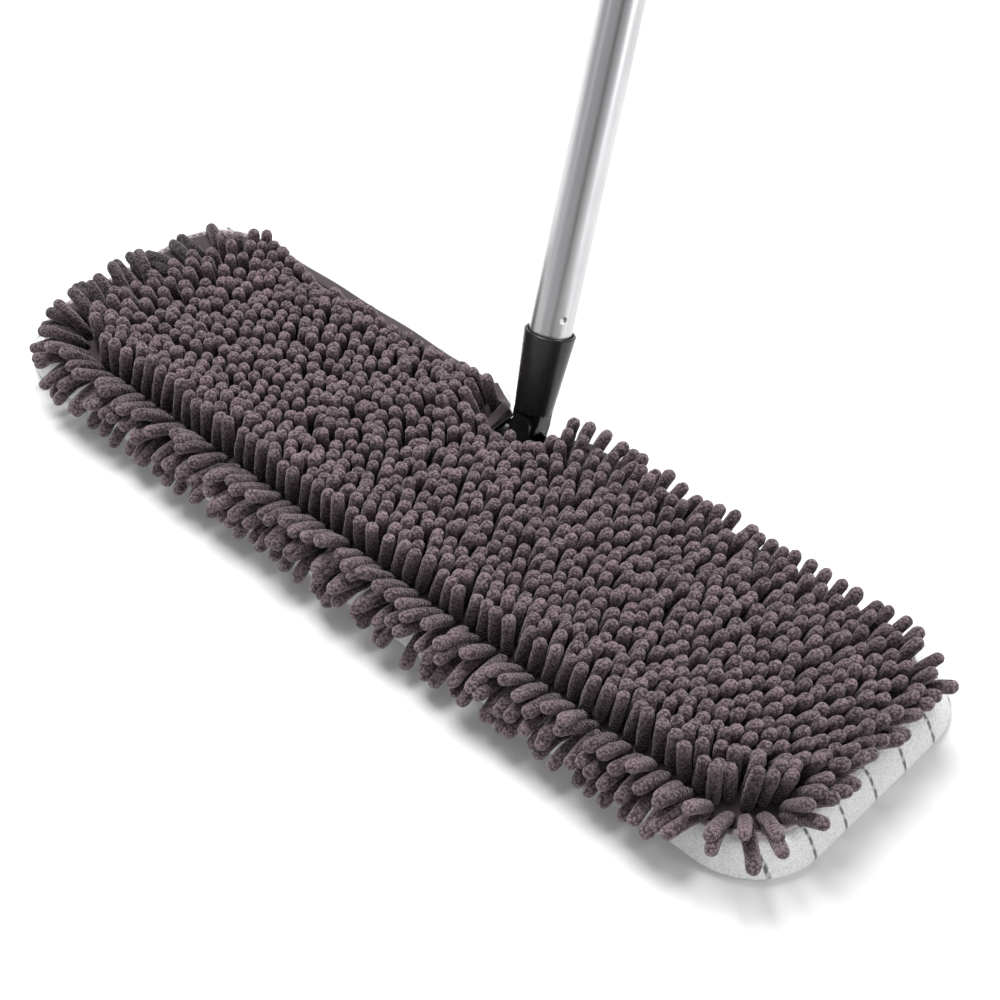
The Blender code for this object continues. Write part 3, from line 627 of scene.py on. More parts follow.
# %% Standing pile
SEWN_IN = 0.2 * MM
PILE_LENGTH, LENGTH_SPREAD = 23.5 * MM, 0.9 * MM
FIRST_SHARE, CURL_SHARE, CURL_SPREAD = 0.75, 0.5, 0.06
rng = np.random.default_rng(11)
x, y = pile_roots(rng)
lean_x, lean_y = combed(x, y, rng)
lean = np.hypot(lean_x, lean_y)
pile = noodle_mesh(
    np.stack([x, y, np.full_like(x, CLOTH_TOP - SEWN_IN)], -1),
    np.arctan2(lean_y, lean_x),
    FIRST_SHARE * lean,
    CURL_SHARE * lean + rng.normal(0, CURL_SPREAD, x.shape),
    rng.normal(PILE_LENGTH, LENGTH_SPREAD, x.shape),
    rng.normal(NOODLE_RADIUS, RADIUS_SPREAD, x.shape),
    rng,
)
standing_noodles = make_piece("standing_noodles", pile[0], pile[1], CHENILLE, "chenille",
                              attributes=pile[2])
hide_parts("chenille_pile")
print("standing noodles:", len(x))

# %% [markdown]
# ## The fringe
# Round the edge the same noodles are sewn in three close rows that bend over it. In front
# they hang down over the side of the pad, on the left they fan out flat, and on the right
# they only lean, so the white side of the pad shows below them. The rows follow one walk
# along the cloth's rounded outline, which gives each root its place and its heading.

# %% Walk along the cloth's edge
CLOTH_PLAN = (BINDING_LOW[0], BINDING_HIGH[0], BINDING_LOW[1], BINDING_HIGH[1], 34 * MM)
LEFT_INSET = 22 * MM
ROW_PLAN = (CLOTH_PLAN[0] + LEFT_INSET, *CLOTH_PLAN[1:])


def edge_walk(inset, pitch, rng=None, plan=CLOTH_PLAN):
    """Points and outward headings along the rounded outline, from the back left corner
    down the left end, along the front and up the right end to the back right corner.
    The outline is three straight runs joined by quarter circles, walked by arc length."""
    left, right, front, back, radius = plan
    radius = radius - inset
    left, right = left + inset + radius, right - inset - radius
    front, back = front + inset + radius, back - inset - radius
    end, run, turn = back - front, right - left, radius * math.pi / 2
    stops = np.cumsum([0, turn, end, turn, run, turn, end, turn])
    count = int(stops[-1] / pitch) + 1
    walked = np.linspace(0, stops[-1], count)
    if rng is not None:
        walked = np.clip(walked + rng.normal(0, 0.12 * pitch, count), 0, stops[-1])
    leg = np.clip(np.searchsorted(stops, walked, side="right") - 1, 0, 6)
    into = walked - stops[leg]
    start_heading = np.pi / 2 + np.array([0, 1, 1, 2, 2, 3, 3]) * np.pi / 2
    is_turn = np.isin(leg, (0, 2, 4, 6))
    heading = start_heading[leg] + np.where(is_turn, into / radius, 0)
    centre_x = np.choose(leg, [left, left, left, left + into, right, right, right])
    centre_y = np.choose(leg, [back, back - into, front, front, front, front + into, back])
    return centre_x + radius * np.cos(heading), centre_y + radius * np.sin(heading), heading


print("edge of the cloth: %.0f mm" % (len(edge_walk(0, MM)[0])))

# %% Three rows of fringe
FRINGE_ROWS = (
    # inset, first and last lean in front, first and last lean at the ends, length
    (9.0 * MM, (0.75, 1.20), (0.50, 0.90), 26.0 * MM),
    (6.0 * MM, (1.10, 1.80), (0.85, 1.30), 26.0 * MM),
    (3.0 * MM, (1.45, 2.40), (1.15, 1.75), 24.0 * MM),
)
FRINGE_PITCH = 8.0 * MM
FRINGE_LENGTH_SPREAD = 1.3 * MM
HEADING_SPREAD, FIRST_SPREAD, FRINGE_CURL_SPREAD = 0.14, 0.1, 0.16
CORNER_X, CORNER_Y = (208 * MM, 226 * MM), (30 * MM, 50 * MM)
CORNER_LONGER, CORNER_BARE, CORNER_LIFT, RIGHT_LIFT = 0.14, 0.1, 0.08, 0.3
BACK_STOP_LEFT, BACK_STOP_RIGHT = 62 * MM, 52 * MM
OUTER_ROW = 2
OUTER_STOP, OUTER_HEADING = 198 * MM, 1.66 * np.pi
ON_THE_RIGHT = 0.4


def fringe(rng):
    """Roots, headings, leans, curls, lengths of every fringe noodle, row after row."""
    rows = []
    for index, (inset, in_front, at_ends, long_) in enumerate(FRINGE_ROWS):
        x, y, heading = edge_walk(inset, FRINGE_PITCH, rng, ROW_PLAN)
        front = smoothstep(-np.sin(heading), 0.25, 0.9)
        right = smoothstep(np.cos(heading), 0.3, 0.8)
        bend = [front * a + (1 - front) * b for a, b in zip(in_front, at_ends)]
        corner = smoothstep(x, *CORNER_X) * smoothstep(-y, *CORNER_Y)
        lift = 1 - RIGHT_LIFT * right * (1 - corner) - CORNER_LIFT * corner
        first, last = (value * lift for value in bend)
        heading = heading + rng.normal(0, HEADING_SPREAD, x.shape)
        back_stop = np.where(x < 0, BACK_STOP_LEFT, BACK_STOP_RIGHT)
        keep = (y < back_stop) & ((right < ON_THE_RIGHT) | (index < OUTER_ROW))
        keep &= (x < OUTER_STOP) | (index < OUTER_ROW) | (heading > OUTER_HEADING)
        keep &= rng.uniform(0, 1, x.shape) > CORNER_BARE * corner * (index > 0)
        z = np.full_like(x, CLOTH_TOP)
        first = first + rng.normal(0, FIRST_SPREAD, x.shape)
        curl = last - first + rng.normal(0, FRINGE_CURL_SPREAD, x.shape)
        length = rng.normal(long_, FRINGE_LENGTH_SPREAD, x.shape) * (1 + CORNER_LONGER * corner)
        rows.append(np.stack([x, y, z, heading, first, curl, length])[:, keep])
    return np.concatenate(rows, axis=1)


rng = np.random.default_rng(23)
x, y, z, heading, first, curl, length = fringe(rng)
SIDE_LINE = 224 * MM
sides = {
    "front_noodles": (np.abs(x) < SIDE_LINE) & (y < 0),
    "left_noodles": x <= -SIDE_LINE,
    "right_noodles": x >= SIDE_LINE,
}
for name, chosen in sides.items():
    part = noodle_mesh(
        np.stack([x, y, z], -1)[chosen], heading[chosen], first[chosen], curl[chosen],
        length[chosen], rng.normal(NOODLE_RADIUS, RADIUS_SPREAD, chosen.sum()), rng,
    )
    piece = make_piece(name, part[0], part[1], CHENILLE, "chenille", attributes=part[2])
    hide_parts(name.replace("noodles", "fringe"))
    print(name, "holds", chosen.sum(), "noodles")

# %% [markdown]
# ## Panels with a notch
# The cloth and the pad have the same kind of outline: a long rectangle with round corners
# and a notch in its back edge. Both are grids. Each column runs from the front edge to
# the back edge at its own X, so the corners and the notch only change where it starts
# and ends.

# %% Panel grid
NOTCH_HALF = 13.5 * MM
NOTCH_FRONT = 42.6 * MM
NOTCH_KINK = 60 * MM
SLIVER = 0.05 * MM


def edge_lines(x, plan, mouth):
    """Front and back edge at x. A corner lies radius - sqrt(radius^2 - past^2) inside the
    straight edge, where past is how far x is into it. The notch pulls the back edge in."""
    left, right, front, back, radius = plan
    past = np.clip(np.maximum(x - (right - radius), left + radius - x), 0, radius)
    corner = radius - np.sqrt(radius ** 2 - past ** 2)
    flare = NOTCH_KINK + (np.abs(x) - NOTCH_HALF) / (mouth - NOTCH_HALF) * (back - NOTCH_KINK)
    notch = np.where(np.abs(x) < NOTCH_HALF, NOTCH_FRONT, flare)
    return front + corner, np.minimum(back - corner, np.where(np.abs(x) < mouth, notch, back))


def panel_grid(plan, mouth, pitch, end_steps, front_steps, back_steps):
    """X and Y of a grid (rows, columns). The steps are distances from the edges where
    extra lines run, so that walls and rounded rims get the points they need."""
    left, right, front, back, radius = plan
    middle = np.arange(left + end_steps[-1], right - end_steps[-1] + pitch / 2, pitch)
    bend = radius * (1 - np.cos(np.linspace(0, np.pi / 2, 10)))
    sides = [left + end_steps, right - end_steps, left + bend, right - bend]
    notch = [side * (NOTCH_HALF + nudge) for side in (-1, 1) for nudge in (-SLIVER, SLIVER)]
    columns = np.sort(np.concatenate([middle, *sides, notch, [-mouth, mouth]]))
    columns = columns[np.concatenate([[True], np.diff(columns) > 1.5 * SLIVER])]
    low, high = edge_lines(columns, plan, mouth)
    inner = np.linspace(0, 1, int((back - front) / pitch))[1:-1, None]
    start, end = low + front_steps[-1], high - back_steps[-1]
    rows = [low + front_steps[:, None], start + (end - start) * inner, high - back_steps[::-1, None]]
    y = np.concatenate(rows)
    return np.broadcast_to(columns, y.shape), y


def depth_inside(x, y, plan, mouth=None):
    """Distance to the outline from inside: for the rounded rectangle, the radius less the
    distance to its inner rectangle, and for the notch the distance to its sides."""
    left, right, front, back, radius = plan
    over_x = np.abs(x - (left + right) / 2) - (right - left) / 2 + radius
    over_y = np.abs(y - (front + back) / 2) - (back - front) / 2 + radius
    outside = np.hypot(np.maximum(over_x, 0), np.maximum(over_y, 0))
    depth = radius - outside - np.minimum(np.maximum(over_x, over_y), 0)
    if mouth is None:
        return depth
    slope = (mouth - NOTCH_HALF) / (back - NOTCH_KINK)
    half = NOTCH_HALF + slope * np.maximum(y - NOTCH_KINK, 0)
    sideways = np.maximum(np.abs(x) - half, 0) / np.where(y > NOTCH_KINK, math.hypot(1, slope), 1)
    return np.minimum(depth, np.hypot(sideways, np.maximum(NOTCH_FRONT - y, 0)))


# %% [markdown]
# ## Fabric finishes
# The base cloth is a plain weave in the noodles' own colour. The binding is a lighter,
# pinkish tape. The pad is white microfibre with a nap so short that it reads as a soft
# roughness, crossed every 22 mm by a dark grey stripe of stitches.

# %% Woven finish
def woven_finish(name, colour, dark, threads, depth, sheen):
    """Weave bump over a colour that drifts between two tones and darkens with painted shade
    in the hollows of the weave.
    """
    material, tree, shader = principled(name, 0.88, Sheen_Weight=sheen, Specular_IOR_Level=0.25)
    weave = place(tree, WOVEN_THREADS, Threads=threads)
    drift = place(tree, COLOUR_DRIFT, Scale=35.0)
    # The dark tone in the hollows of the weave is painted shade; the drift is the cloth's own tone.
    blend = maths(tree, "MULTIPLY_ADD", weave["Height"], 0.55,
                  maths(tree, "MULTIPLY", drift["Drift"], 0.45))
    tree.links.new(mix_colour(tree, blend, dark, colour), shader["Base Color"])
    lint = noise(tree, object_point(tree), 2600.0, 2.0, 0.7)
    height = maths(tree, "MULTIPLY_ADD", lint, 0.5, weave["Height"])
    tree.links.new(bump(tree, height, 0.8, depth), shader["Normal"])
    return material


BASE_CLOTH = woven_finish("base_cloth", (0.085, 0.062, 0.068), (0.034, 0.024, 0.027),
                          1100.0, 0.25 * MM, 0.3)
BINDING = woven_finish("binding_tape", (0.50, 0.43, 0.44), (0.26, 0.21, 0.22),
                       1300.0, 0.2 * MM, 0.35)
TAPE = woven_finish("hook_and_loop_tape", (0.27, 0.27, 0.28), (0.10, 0.10, 0.105),
                    700.0, 0.45 * MM, 0.4)
THREAD = woven_finish("sewing_thread", (0.16, 0.13, 0.135), (0.07, 0.055, 0.06),
                      2200.0, 0.1 * MM, 0.3)
print("woven finishes made")

# %% Microfibre finish
STRIPE_PITCH = 22 * MM
STRIPE_HALF = 0.8 * MM


def microfibre_finish():
    """White nap with grey stripes along X, and painted shade in the gaps between tufts. The
    distance to the nearest stripe is a ping-pong of Y, disturbed by noise so that the
    stitched edge is not ruled."""
    material, tree, shader = principled("microfibre", 0.95, Sheen_Weight=0.5, Sheen_Roughness=0.6,
                                        Specular_IOR_Level=0.2)
    point = object_point(tree)
    parts = tree.nodes.new("ShaderNodeSeparateXYZ")
    tree.links.new(point, parts.inputs[0])
    wander = noise(tree, point, 420.0, 2.0, 0.6)
    y = maths(tree, "MULTIPLY_ADD", wander, 1.2 * MM, parts.outputs["Y"])
    away = maths(tree, "PINGPONG", maths(tree, "ADD", y, 10 * STRIPE_PITCH - 0.6 * MM), STRIPE_PITCH / 2)
    stripe = remap(tree, away, STRIPE_HALF * 0.6, STRIPE_HALF * 1.5, 1.0, 0.0)
    dashes = maths(tree, "SINE", maths(tree, "MULTIPLY", parts.outputs["X"], 2 * math.pi / (3.2 * MM)))
    stripe = maths(tree, "MULTIPLY", stripe, remap(tree, dashes, -0.9, 0.1, 0.45, 1.0))
    cells = place(tree, FUZZ_CELLS, Scale=900.0)
    drift = place(tree, COLOUR_DRIFT, Scale=28.0)
    # Painted shade in the gaps between tufts, mixed with the cloth's own slow change of tone.
    shade = maths(tree, "MULTIPLY_ADD", cells["Gaps"], 0.6, maths(tree, "MULTIPLY", drift["Drift"], 0.4))
    white = mix_colour(tree, shade, (0.66, 0.665, 0.66), (0.90, 0.90, 0.895))
    tree.links.new(mix_colour(tree, stripe, white, (0.10, 0.105, 0.11)), shader["Base Color"])
    nap = noise(tree, point, 1900.0, 3.0, 0.7)
    height = maths(tree, "MULTIPLY_ADD", nap, 0.8, maths(tree, "MULTIPLY", cells["Height"], 0.6))
    tree.links.new(bump(tree, height, 0.7, 0.5 * MM), shader["Normal"])
    return material


MICROFIBRE = microfibre_finish()
print("stripes every %.0f mm" % (STRIPE_PITCH / MM))

# %% [markdown]
# ## The base cloth
# One layer of cloth carries the noodles. It is cut with the panel's outline less its
# binding, and it is stretched over the frame, so it stays flat apart from small ripples.
# A Solidify modifier gives it its thickness.

# %% Base cloth
CLOTH_MOUTH = 33 * MM
CLOTH_CORNER = 30.4 * MM
CLOTH_PITCH = 5 * MM
CLOTH_THICKNESS = 1.5 * MM
CLOTH_DROP, RIPPLE_HEIGHT, RIPPLE_WAVE = 0.1 * MM, 0.22 * MM, 45 * MM
cloth_plan = (CLOTH_LOW[0], CLOTH_HIGH[0], CLOTH_LOW[1], CLOTH_HIGH[1], CLOTH_CORNER)
few_steps = np.array([0, 1.5, 4]) * MM
x, y = panel_grid(cloth_plan, CLOTH_MOUTH, CLOTH_PITCH, few_steps, few_steps, few_steps)
rng = np.random.default_rng(31)
middle = (CLOTH_LOW[2] + CLOTH_HIGH[2]) / 2
z = middle - CLOTH_DROP + RIPPLE_HEIGHT * drift_field(x, y, rng, RIPPLE_WAVE)
base_cloth = make_piece("base_cloth", np.stack([x, y, z], -1), [grid_faces(*x.shape)], BASE_CLOTH,
                        "base_cloth", closed=False)
thicken = base_cloth.modifiers.new("cloth_thickness", "SOLIDIFY")
thicken.thickness = CLOTH_THICKNESS
thicken.offset = 0.0
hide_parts("chenille_base")
low, high = edge_lines(x[0], cloth_plan, CLOTH_MOUTH)

# %% [markdown]
# ## Bands along a path
# The binding, the hems and the facing of the notch are folded bands. A band is a
# rounded flat section carried along a path, and a row of stitches is a string of small
# arched beads along the same path.

# %% Sweep and stitches
def flat_section(width, height, points=20, squareness=3.0):
    """Superellipse: half the width times a power of the cosine, and half the height times
    the same power of the sine."""
    angle = np.arange(points) * 2 * np.pi / points
    power = 2 / squareness
    across = np.sign(np.cos(angle)) * np.abs(np.cos(angle)) ** power
    upwards = np.sign(np.sin(angle)) * np.abs(np.sin(angle)) ** power
    return np.stack([across * width / 2, upwards * height / 2], -1)


def sweep(path, section, tilt=0.0):
    """A section carried along a path that stays nearly level: each ring is the path point
    plus the section's width along (up x direction) and its height upwards."""
    direction = np.gradient(path, axis=0)
    direction /= np.linalg.norm(direction, axis=1, keepdims=True)
    across = np.cross([0, 0, 1], direction)
    across /= np.linalg.norm(across, axis=1, keepdims=True)
    upwards = np.cross(direction, across)
    lean = np.broadcast_to(tilt, len(path))[:, None]
    across, upwards = (np.cos(lean) * across + np.sin(lean) * upwards,
                       np.cos(lean) * upwards - np.sin(lean) * across)
    rings = (path[:, None, :] + section[None, :, :1] * across[:, None, :]
             + section[None, :, 1:] * upwards[:, None, :])
    count = len(section)
    caps = np.stack([np.arange(count)[::-1], (len(path) - 1) * count + np.arange(count)])
    return rings.reshape(-1, 3), [grid_faces(len(path), count, wrap_cols=True), caps]


def even_path(path, pitch):
    """The same path with points an even pitch apart, by its running length."""
    run = np.concatenate([[0], np.cumsum(np.linalg.norm(np.diff(path, axis=0), axis=1))])
    at = np.linspace(0, run[-1], max(3, int(run[-1] / pitch) + 1))
    return np.stack([np.interp(at, run, path[:, k]) for k in range(3)], -1)


def rounded_path(corners, pitch, radius):
    """Straight legs through the corners, with the corners eased by a running mean."""
    path = even_path(np.asarray(corners, float), pitch)
    window = max(1, int(radius / pitch))
    padded = np.concatenate([np.repeat(path[:1], window, 0), path, np.repeat(path[-1:], window, 0)])
    kernel = np.ones(2 * window + 1) / (2 * window + 1)
    return np.stack([np.convolve(padded[:, k], kernel, "valid") for k in range(3)], -1)


def middle_line(low, high, count):
    """Points along X through the middle of a box."""
    span = np.linspace(low[0], high[0], count)
    middle = (low + high) / 2
    return np.stack([span, np.full_like(span, middle[1]), np.full_like(span, middle[2])], -1)


def stitches(path, pitch=4.0 * MM, length=2.9 * MM, thick=0.7 * MM, sides=5):
    """Beads of thread: four rings each, arched so that their ends dip into the cloth."""
    at = even_path(path, pitch)
    direction = np.gradient(at, axis=0)
    direction /= np.linalg.norm(direction, axis=1, keepdims=True)
    across = np.cross([0, 0, 1], direction)
    along = np.array([-1, -0.5, 0.5, 1]) * length / 2
    width = np.array([0.4, 1, 1, 0.4]) * thick / 2
    dip = np.array([-0.35, 0, 0, -0.35]) * thick
    centre = at[:, None] + along[None, :, None] * direction[:, None] + dip[None, :, None] * [0, 0, 1]
    angle = np.arange(sides) * 2 * np.pi / sides
    ring = (np.cos(angle)[:, None] * across[:, None, None, :]
            + np.sin(angle)[:, None] * np.array([0, 0, 1.0]))
    points = centre[:, :, None, :] + width[None, :, None, None] * ring
    start = (np.arange(len(at)) * 4 * sides)[:, None, None]
    quads = (start + grid_faces(4, sides, wrap_cols=True)).reshape(-1, 4)
    caps = np.stack([np.arange(sides)[::-1], 3 * sides + np.arange(sides)])
    return points.reshape(-1, 3), [quads, (start + caps).reshape(-1, sides)]


# %% [markdown]
# ## Binding, hems and facing
# The edge tape is folded over the cloth's cut edge on three sides. The back edge is
# turned over into a flat hem on each side of the notch, and a narrow facing runs round
# the notch itself, puckered on its left where the cloth bunches against the hinge.

# %% Edge binding
CLOTH_MIDDLE = (BINDING_LOW[2] + BINDING_HIGH[2]) / 2
BINDING_WIDTH, BINDING_HEIGHT = 3.6 * MM, 2.3 * MM
BINDING_PITCH = 3 * MM
BINDING_RIPPLE, RIPPLE_TURN = 0.18 * MM, 0.9
SEAM_INSET = 2.6 * MM
x, y, heading = edge_walk(BINDING_WIDTH / 2, BINDING_PITCH)
ripple = BINDING_RIPPLE * np.sin(np.arange(len(x)) * RIPPLE_TURN)
edge_path = np.stack([x, y, np.full_like(x, CLOTH_MIDDLE) + ripple], -1)
section = flat_section(BINDING_WIDTH, BINDING_HEIGHT)
edge_binding = make_piece("edge_binding_tape", *sweep(edge_path, section), BINDING, "binding")
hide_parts("edge_binding")
x, y, heading = edge_walk(SEAM_INSET, BINDING_PITCH)
seam = np.stack([x, y, np.full_like(x, CLOTH_MIDDLE + BINDING_HEIGHT / 2)], -1)
edge_stitches = make_piece("edge_stitches", *stitches(seam), THREAD, "binding")

# %% Back hems
HEM_POINTS = 60
HEM_WAVES = ((0.25 * MM, 9 * MM), (0.2 * MM, 23 * MM))
HEM_WAVE_UP, HEM_LIFT, HEM_TILT = 0.6, 0.4 * MM, -0.12
HEM_NARROWER, HEM_THICKER = 0.4 * MM, 0.3 * MM
GROOVE_PLACE, GROOVE_WIDTH, GROOVE_SHARE = -1.2 * MM, 0.5 * MM, 0.28
STITCH_LIFT = 0.75 * MM

for name in ("left", "right"):
    low, high = box("back_hem_" + name)
    line = middle_line(low, high, HEM_POINTS)
    wave = sum(height * np.sin(line[:, 0] / length) for height, length in HEM_WAVES)
    line[:, 1] += wave
    line[:, 2] += HEM_WAVE_UP * wave
    line[:, 2] += HEM_LIFT
    section = flat_section(high[1] - low[1] - HEM_NARROWER, high[2] - low[2] + HEM_THICKER, 28, 4.0)
    groove = np.exp(-((section[:, 0] - GROOVE_PLACE) / GROOVE_WIDTH) ** 2)
    section[:, 1] *= 1 - GROOVE_SHARE * groove
    hem = make_piece("hem_" + name, *sweep(line, section, HEM_TILT), BASE_CLOTH, "base_cloth")
    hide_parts("back_hem_" + name)
    row = line + [0, GROOVE_PLACE, STITCH_LIFT]
    make_piece("hem_stitches_" + name, *stitches(row), THREAD, "base_cloth")

# %% Notch facing
FACING_WIDTH, FACING_HEIGHT = 4.6 * MM, 1.7 * MM
FACING_PITCH, FACING_BEND = 0.8 * MM, 3.2 * MM
FACING_GAP = 0.2 * MM
MOUTH_OVERLAP, HEM_OVERLAP, KINK_BEFORE = 3.5 * MM, 0.5 * MM, 1 * MM
PUCKER_HEIGHT, PUCKER_TILT = 4.5 * MM, 0.9
PUCKER_BEFORE, PUCKER_REACH_X, PUCKER_REACH_Y = 4 * MM, 8 * MM, 7 * MM

reach = NOTCH_HALF + FACING_WIDTH / 2 + FACING_GAP
level = (NOTCH_LOW[2] + NOTCH_HIGH[2]) / 2
right_half = [(CLOTH_MOUTH + MOUTH_OVERLAP, CLOTH_HIGH[1] - HEM_OVERLAP),
              (reach, NOTCH_KINK - KINK_BEFORE), (reach, NOTCH_FRONT - FACING_WIDTH / 2)]
corners = [(x, y, level) for x, y in right_half] + [(-x, y, level) for x, y in right_half[::-1]]
facing_path = rounded_path(corners, FACING_PITCH, FACING_BEND)
from_left = (facing_path[:, 0] + reach) / PUCKER_REACH_X
from_kink = (facing_path[:, 1] - NOTCH_KINK + PUCKER_BEFORE) / PUCKER_REACH_Y
pucker = np.exp(-(from_left ** 2 + from_kink ** 2))
facing_path[:, 2] += PUCKER_HEIGHT * pucker
section = flat_section(FACING_WIDTH, FACING_HEIGHT, 24, 3.5)
notch_facing = make_piece("notch_facing", *sweep(facing_path, section, PUCKER_TILT * pucker),
                          BASE_CLOTH, "base_cloth")
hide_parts("notch_binding")
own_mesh(notch_facing)

# %% Hook and loop tapes
TAPE_POINTS = 50
TAPE_WAVE, TAPE_WAVE_LENGTH = 0.15 * MM, 11 * MM

for kind in ("hook", "loop"):
    for side in ("left", "right"):
        low, high = box("%s_tape_%s" % (kind, side))
        line = middle_line(low, high, TAPE_POINTS)
        line[:, 1] += TAPE_WAVE * np.sin(line[:, 0] / TAPE_WAVE_LENGTH)
        section = flat_section(high[1] - low[1], high[2] - low[2], 16, 5.0)
        tape = make_piece("%s_strip_%s" % (kind, side), *sweep(line, section), TAPE, "tape")
        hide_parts("%s_tape_%s" % (kind, side))

# %% [markdown]
# ## The microfibre pad
# The pad is a soft tray: its floor is the sole, and its rim wraps the frame. It is two
# height fields over one panel grid, joined at the outer seam. From the seam the upper one
# climbs the sloping flank like a quarter wave, and the sole curls up to the same seam.
# Every 22 mm a row of stitches pulls both surfaces in, so the fabric stands in soft
# pillows between the rows.

# %% Pad shape
PAD_PLAN = (PAD_LOW[0], PAD_HIGH[0], PAD_LOW[1], PAD_HIGH[1], 38 * MM)
PAD_MOUTH = 37 * MM
SEAM_HEIGHT = 4.0 * MM
FLANK_WIDTH = 10.0 * MM
FLOOR_TOP = FRAME_LOW[2] - 0.3 * MM
CLEAR = 1.7 * MM
RECESS_CORNER = 29.7 * MM
LIP = 0.6 * MM
TOP_GAP = 1.0 * MM
SOLE_CURL = 5 * MM
STITCH_DEPTH, STITCH_REACH = 0.9 * MM, 1.7 * MM
LUMP_HEIGHT, LUMP_WAVE = 0.22 * MM, 20 * MM
CLIMB_POWER = 0.85
SOLE_PULL_ZONE, FLANK_PULL_ZONE = (2 * MM, 6 * MM), (0.5 * MM, 3 * MM)
OPEN_BACK_HALF, OPEN_BACK_DEPTH, TAPE_GAP = 214 * MM, 2 * MM, 0.5 * MM


def pull_of_stitches(y):
    """1 on a row of stitches and 0 between rows: a narrow bell round each multiple."""
    away = np.abs((y + STRIPE_PITCH / 2) % STRIPE_PITCH - STRIPE_PITCH / 2)
    return np.exp(-(away / STITCH_REACH) ** 2)


def pad_heights(x, y, rng):
    """Heights of the sole and of the upper surface at each point of the grid."""
    depth = depth_inside(x, y, PAD_PLAN, PAD_MOUTH)
    pull = pull_of_stitches(y)
    lumps = LUMP_HEIGHT * drift_field(x, y, rng, LUMP_WAVE)
    curl = np.clip(depth / SOLE_CURL, 0, 1)
    sole = np.where(curl < 1, (SEAM_HEIGHT - LIP) * (1 - np.sin(curl * np.pi / 2)), 0)
    sole = sole + STITCH_DEPTH * pull * smoothstep(depth, *SOLE_PULL_ZONE)
    climb = np.sin(np.clip(depth / FLANK_WIDTH, 0, 1) * np.pi / 2) ** CLIMB_POWER
    flank = SEAM_HEIGHT + LIP + (PAD_HIGH[2] - SEAM_HEIGHT - TOP_GAP) * climb
    flank += (lumps - STITCH_DEPTH * pull) * smoothstep(depth, *FLANK_PULL_ZONE)
    recess = (FRAME_LOW[0] - CLEAR, FRAME_HIGH[0] + CLEAR,
              FRAME_LOW[1] - CLEAR, FRAME_HIGH[1] + CLEAR, RECESS_CORNER)
    in_recess = depth_inside(x, y, recess) > 0
    mouth_low = box("hook_tape_left")[0][2] - TAPE_GAP
    open_back = (np.abs(x) < OPEN_BACK_HALF) & (y > recess[3] - OPEN_BACK_DEPTH)
    ceiling = np.where(in_recess, FLOOR_TOP, np.where(open_back, mouth_low, PAD_HIGH[2]))
    return np.maximum(sole, 0), np.minimum(flank, ceiling)


PAD_PITCH = 2.2 * MM
rim_steps = [0, 0.6, 1.4, 2.4, 3.6, 5, 6.6, 8.4, 10.2]
end_steps, front_steps, back_steps = (
    np.array(rim_steps + wall) * MM
    for wall in ([12.5, 15, 17.1, 17.5], [13, 16.1, 16.5], [14, 18, 22.1, 22.5])
)
x, y = panel_grid(PAD_PLAN, PAD_MOUTH, PAD_PITCH, end_steps, front_steps, back_steps)
sole, upper = pad_heights(x, y, np.random.default_rng(41))
rows, cols = x.shape
points = np.concatenate([np.stack([x, y, sole], -1).reshape(-1, 3),
                         np.stack([x, y, upper], -1).reshape(-1, 3)])
number = np.arange(rows * cols).reshape(rows, cols)
rim = np.concatenate([number[0, :-1], number[:-1, -1], number[-1, :0:-1], number[:0:-1, 0]])
following = np.roll(rim, -1)
seam_band = np.stack([rim, following, following + rows * cols, rim + rows * cols], -1)
quads = grid_faces(rows, cols)
pad_faces = [quads[:, ::-1], quads + rows * cols, seam_band]
pad_cover = make_piece("microfibre_cover", points, pad_faces, MICROFIBRE, "microfibre")
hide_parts("microfibre_pad")
print("pad grid %d x %d" % (rows, cols))

# %% [markdown]
# ## Air in the pad
# A short cloth simulation with air inside blows the flank up between its rows of
# stitches. The stitches, the seam, the sole and everything under the frame are held, and
# no point may move by more than a set limit or go below the floor.

# %% Inflated flank
BLOW_FRAMES = 14
BLOW_LIMIT = 1.4 * MM
AIR = 5.0
LOOSE_FROM, LOOSE_TO = 0.4 * MM, 9.5 * MM
LOOSE_PULL = 0.3


def held_points(x, y):
    """True for each point of both surfaces that stitches, seam, frame or hinge hold: those
    outside the loose band round the outline, on a row of stitches, or at the notch."""
    depth = depth_inside(x, y, PAD_PLAN, PAD_MOUTH)
    loose = (depth > LOOSE_FROM) & (depth < LOOSE_TO) & (pull_of_stitches(y) < LOOSE_PULL)
    loose &= (np.abs(x) > 2 * PAD_MOUTH) | (y < 0)
    return np.tile(~loose.ravel(), 2)


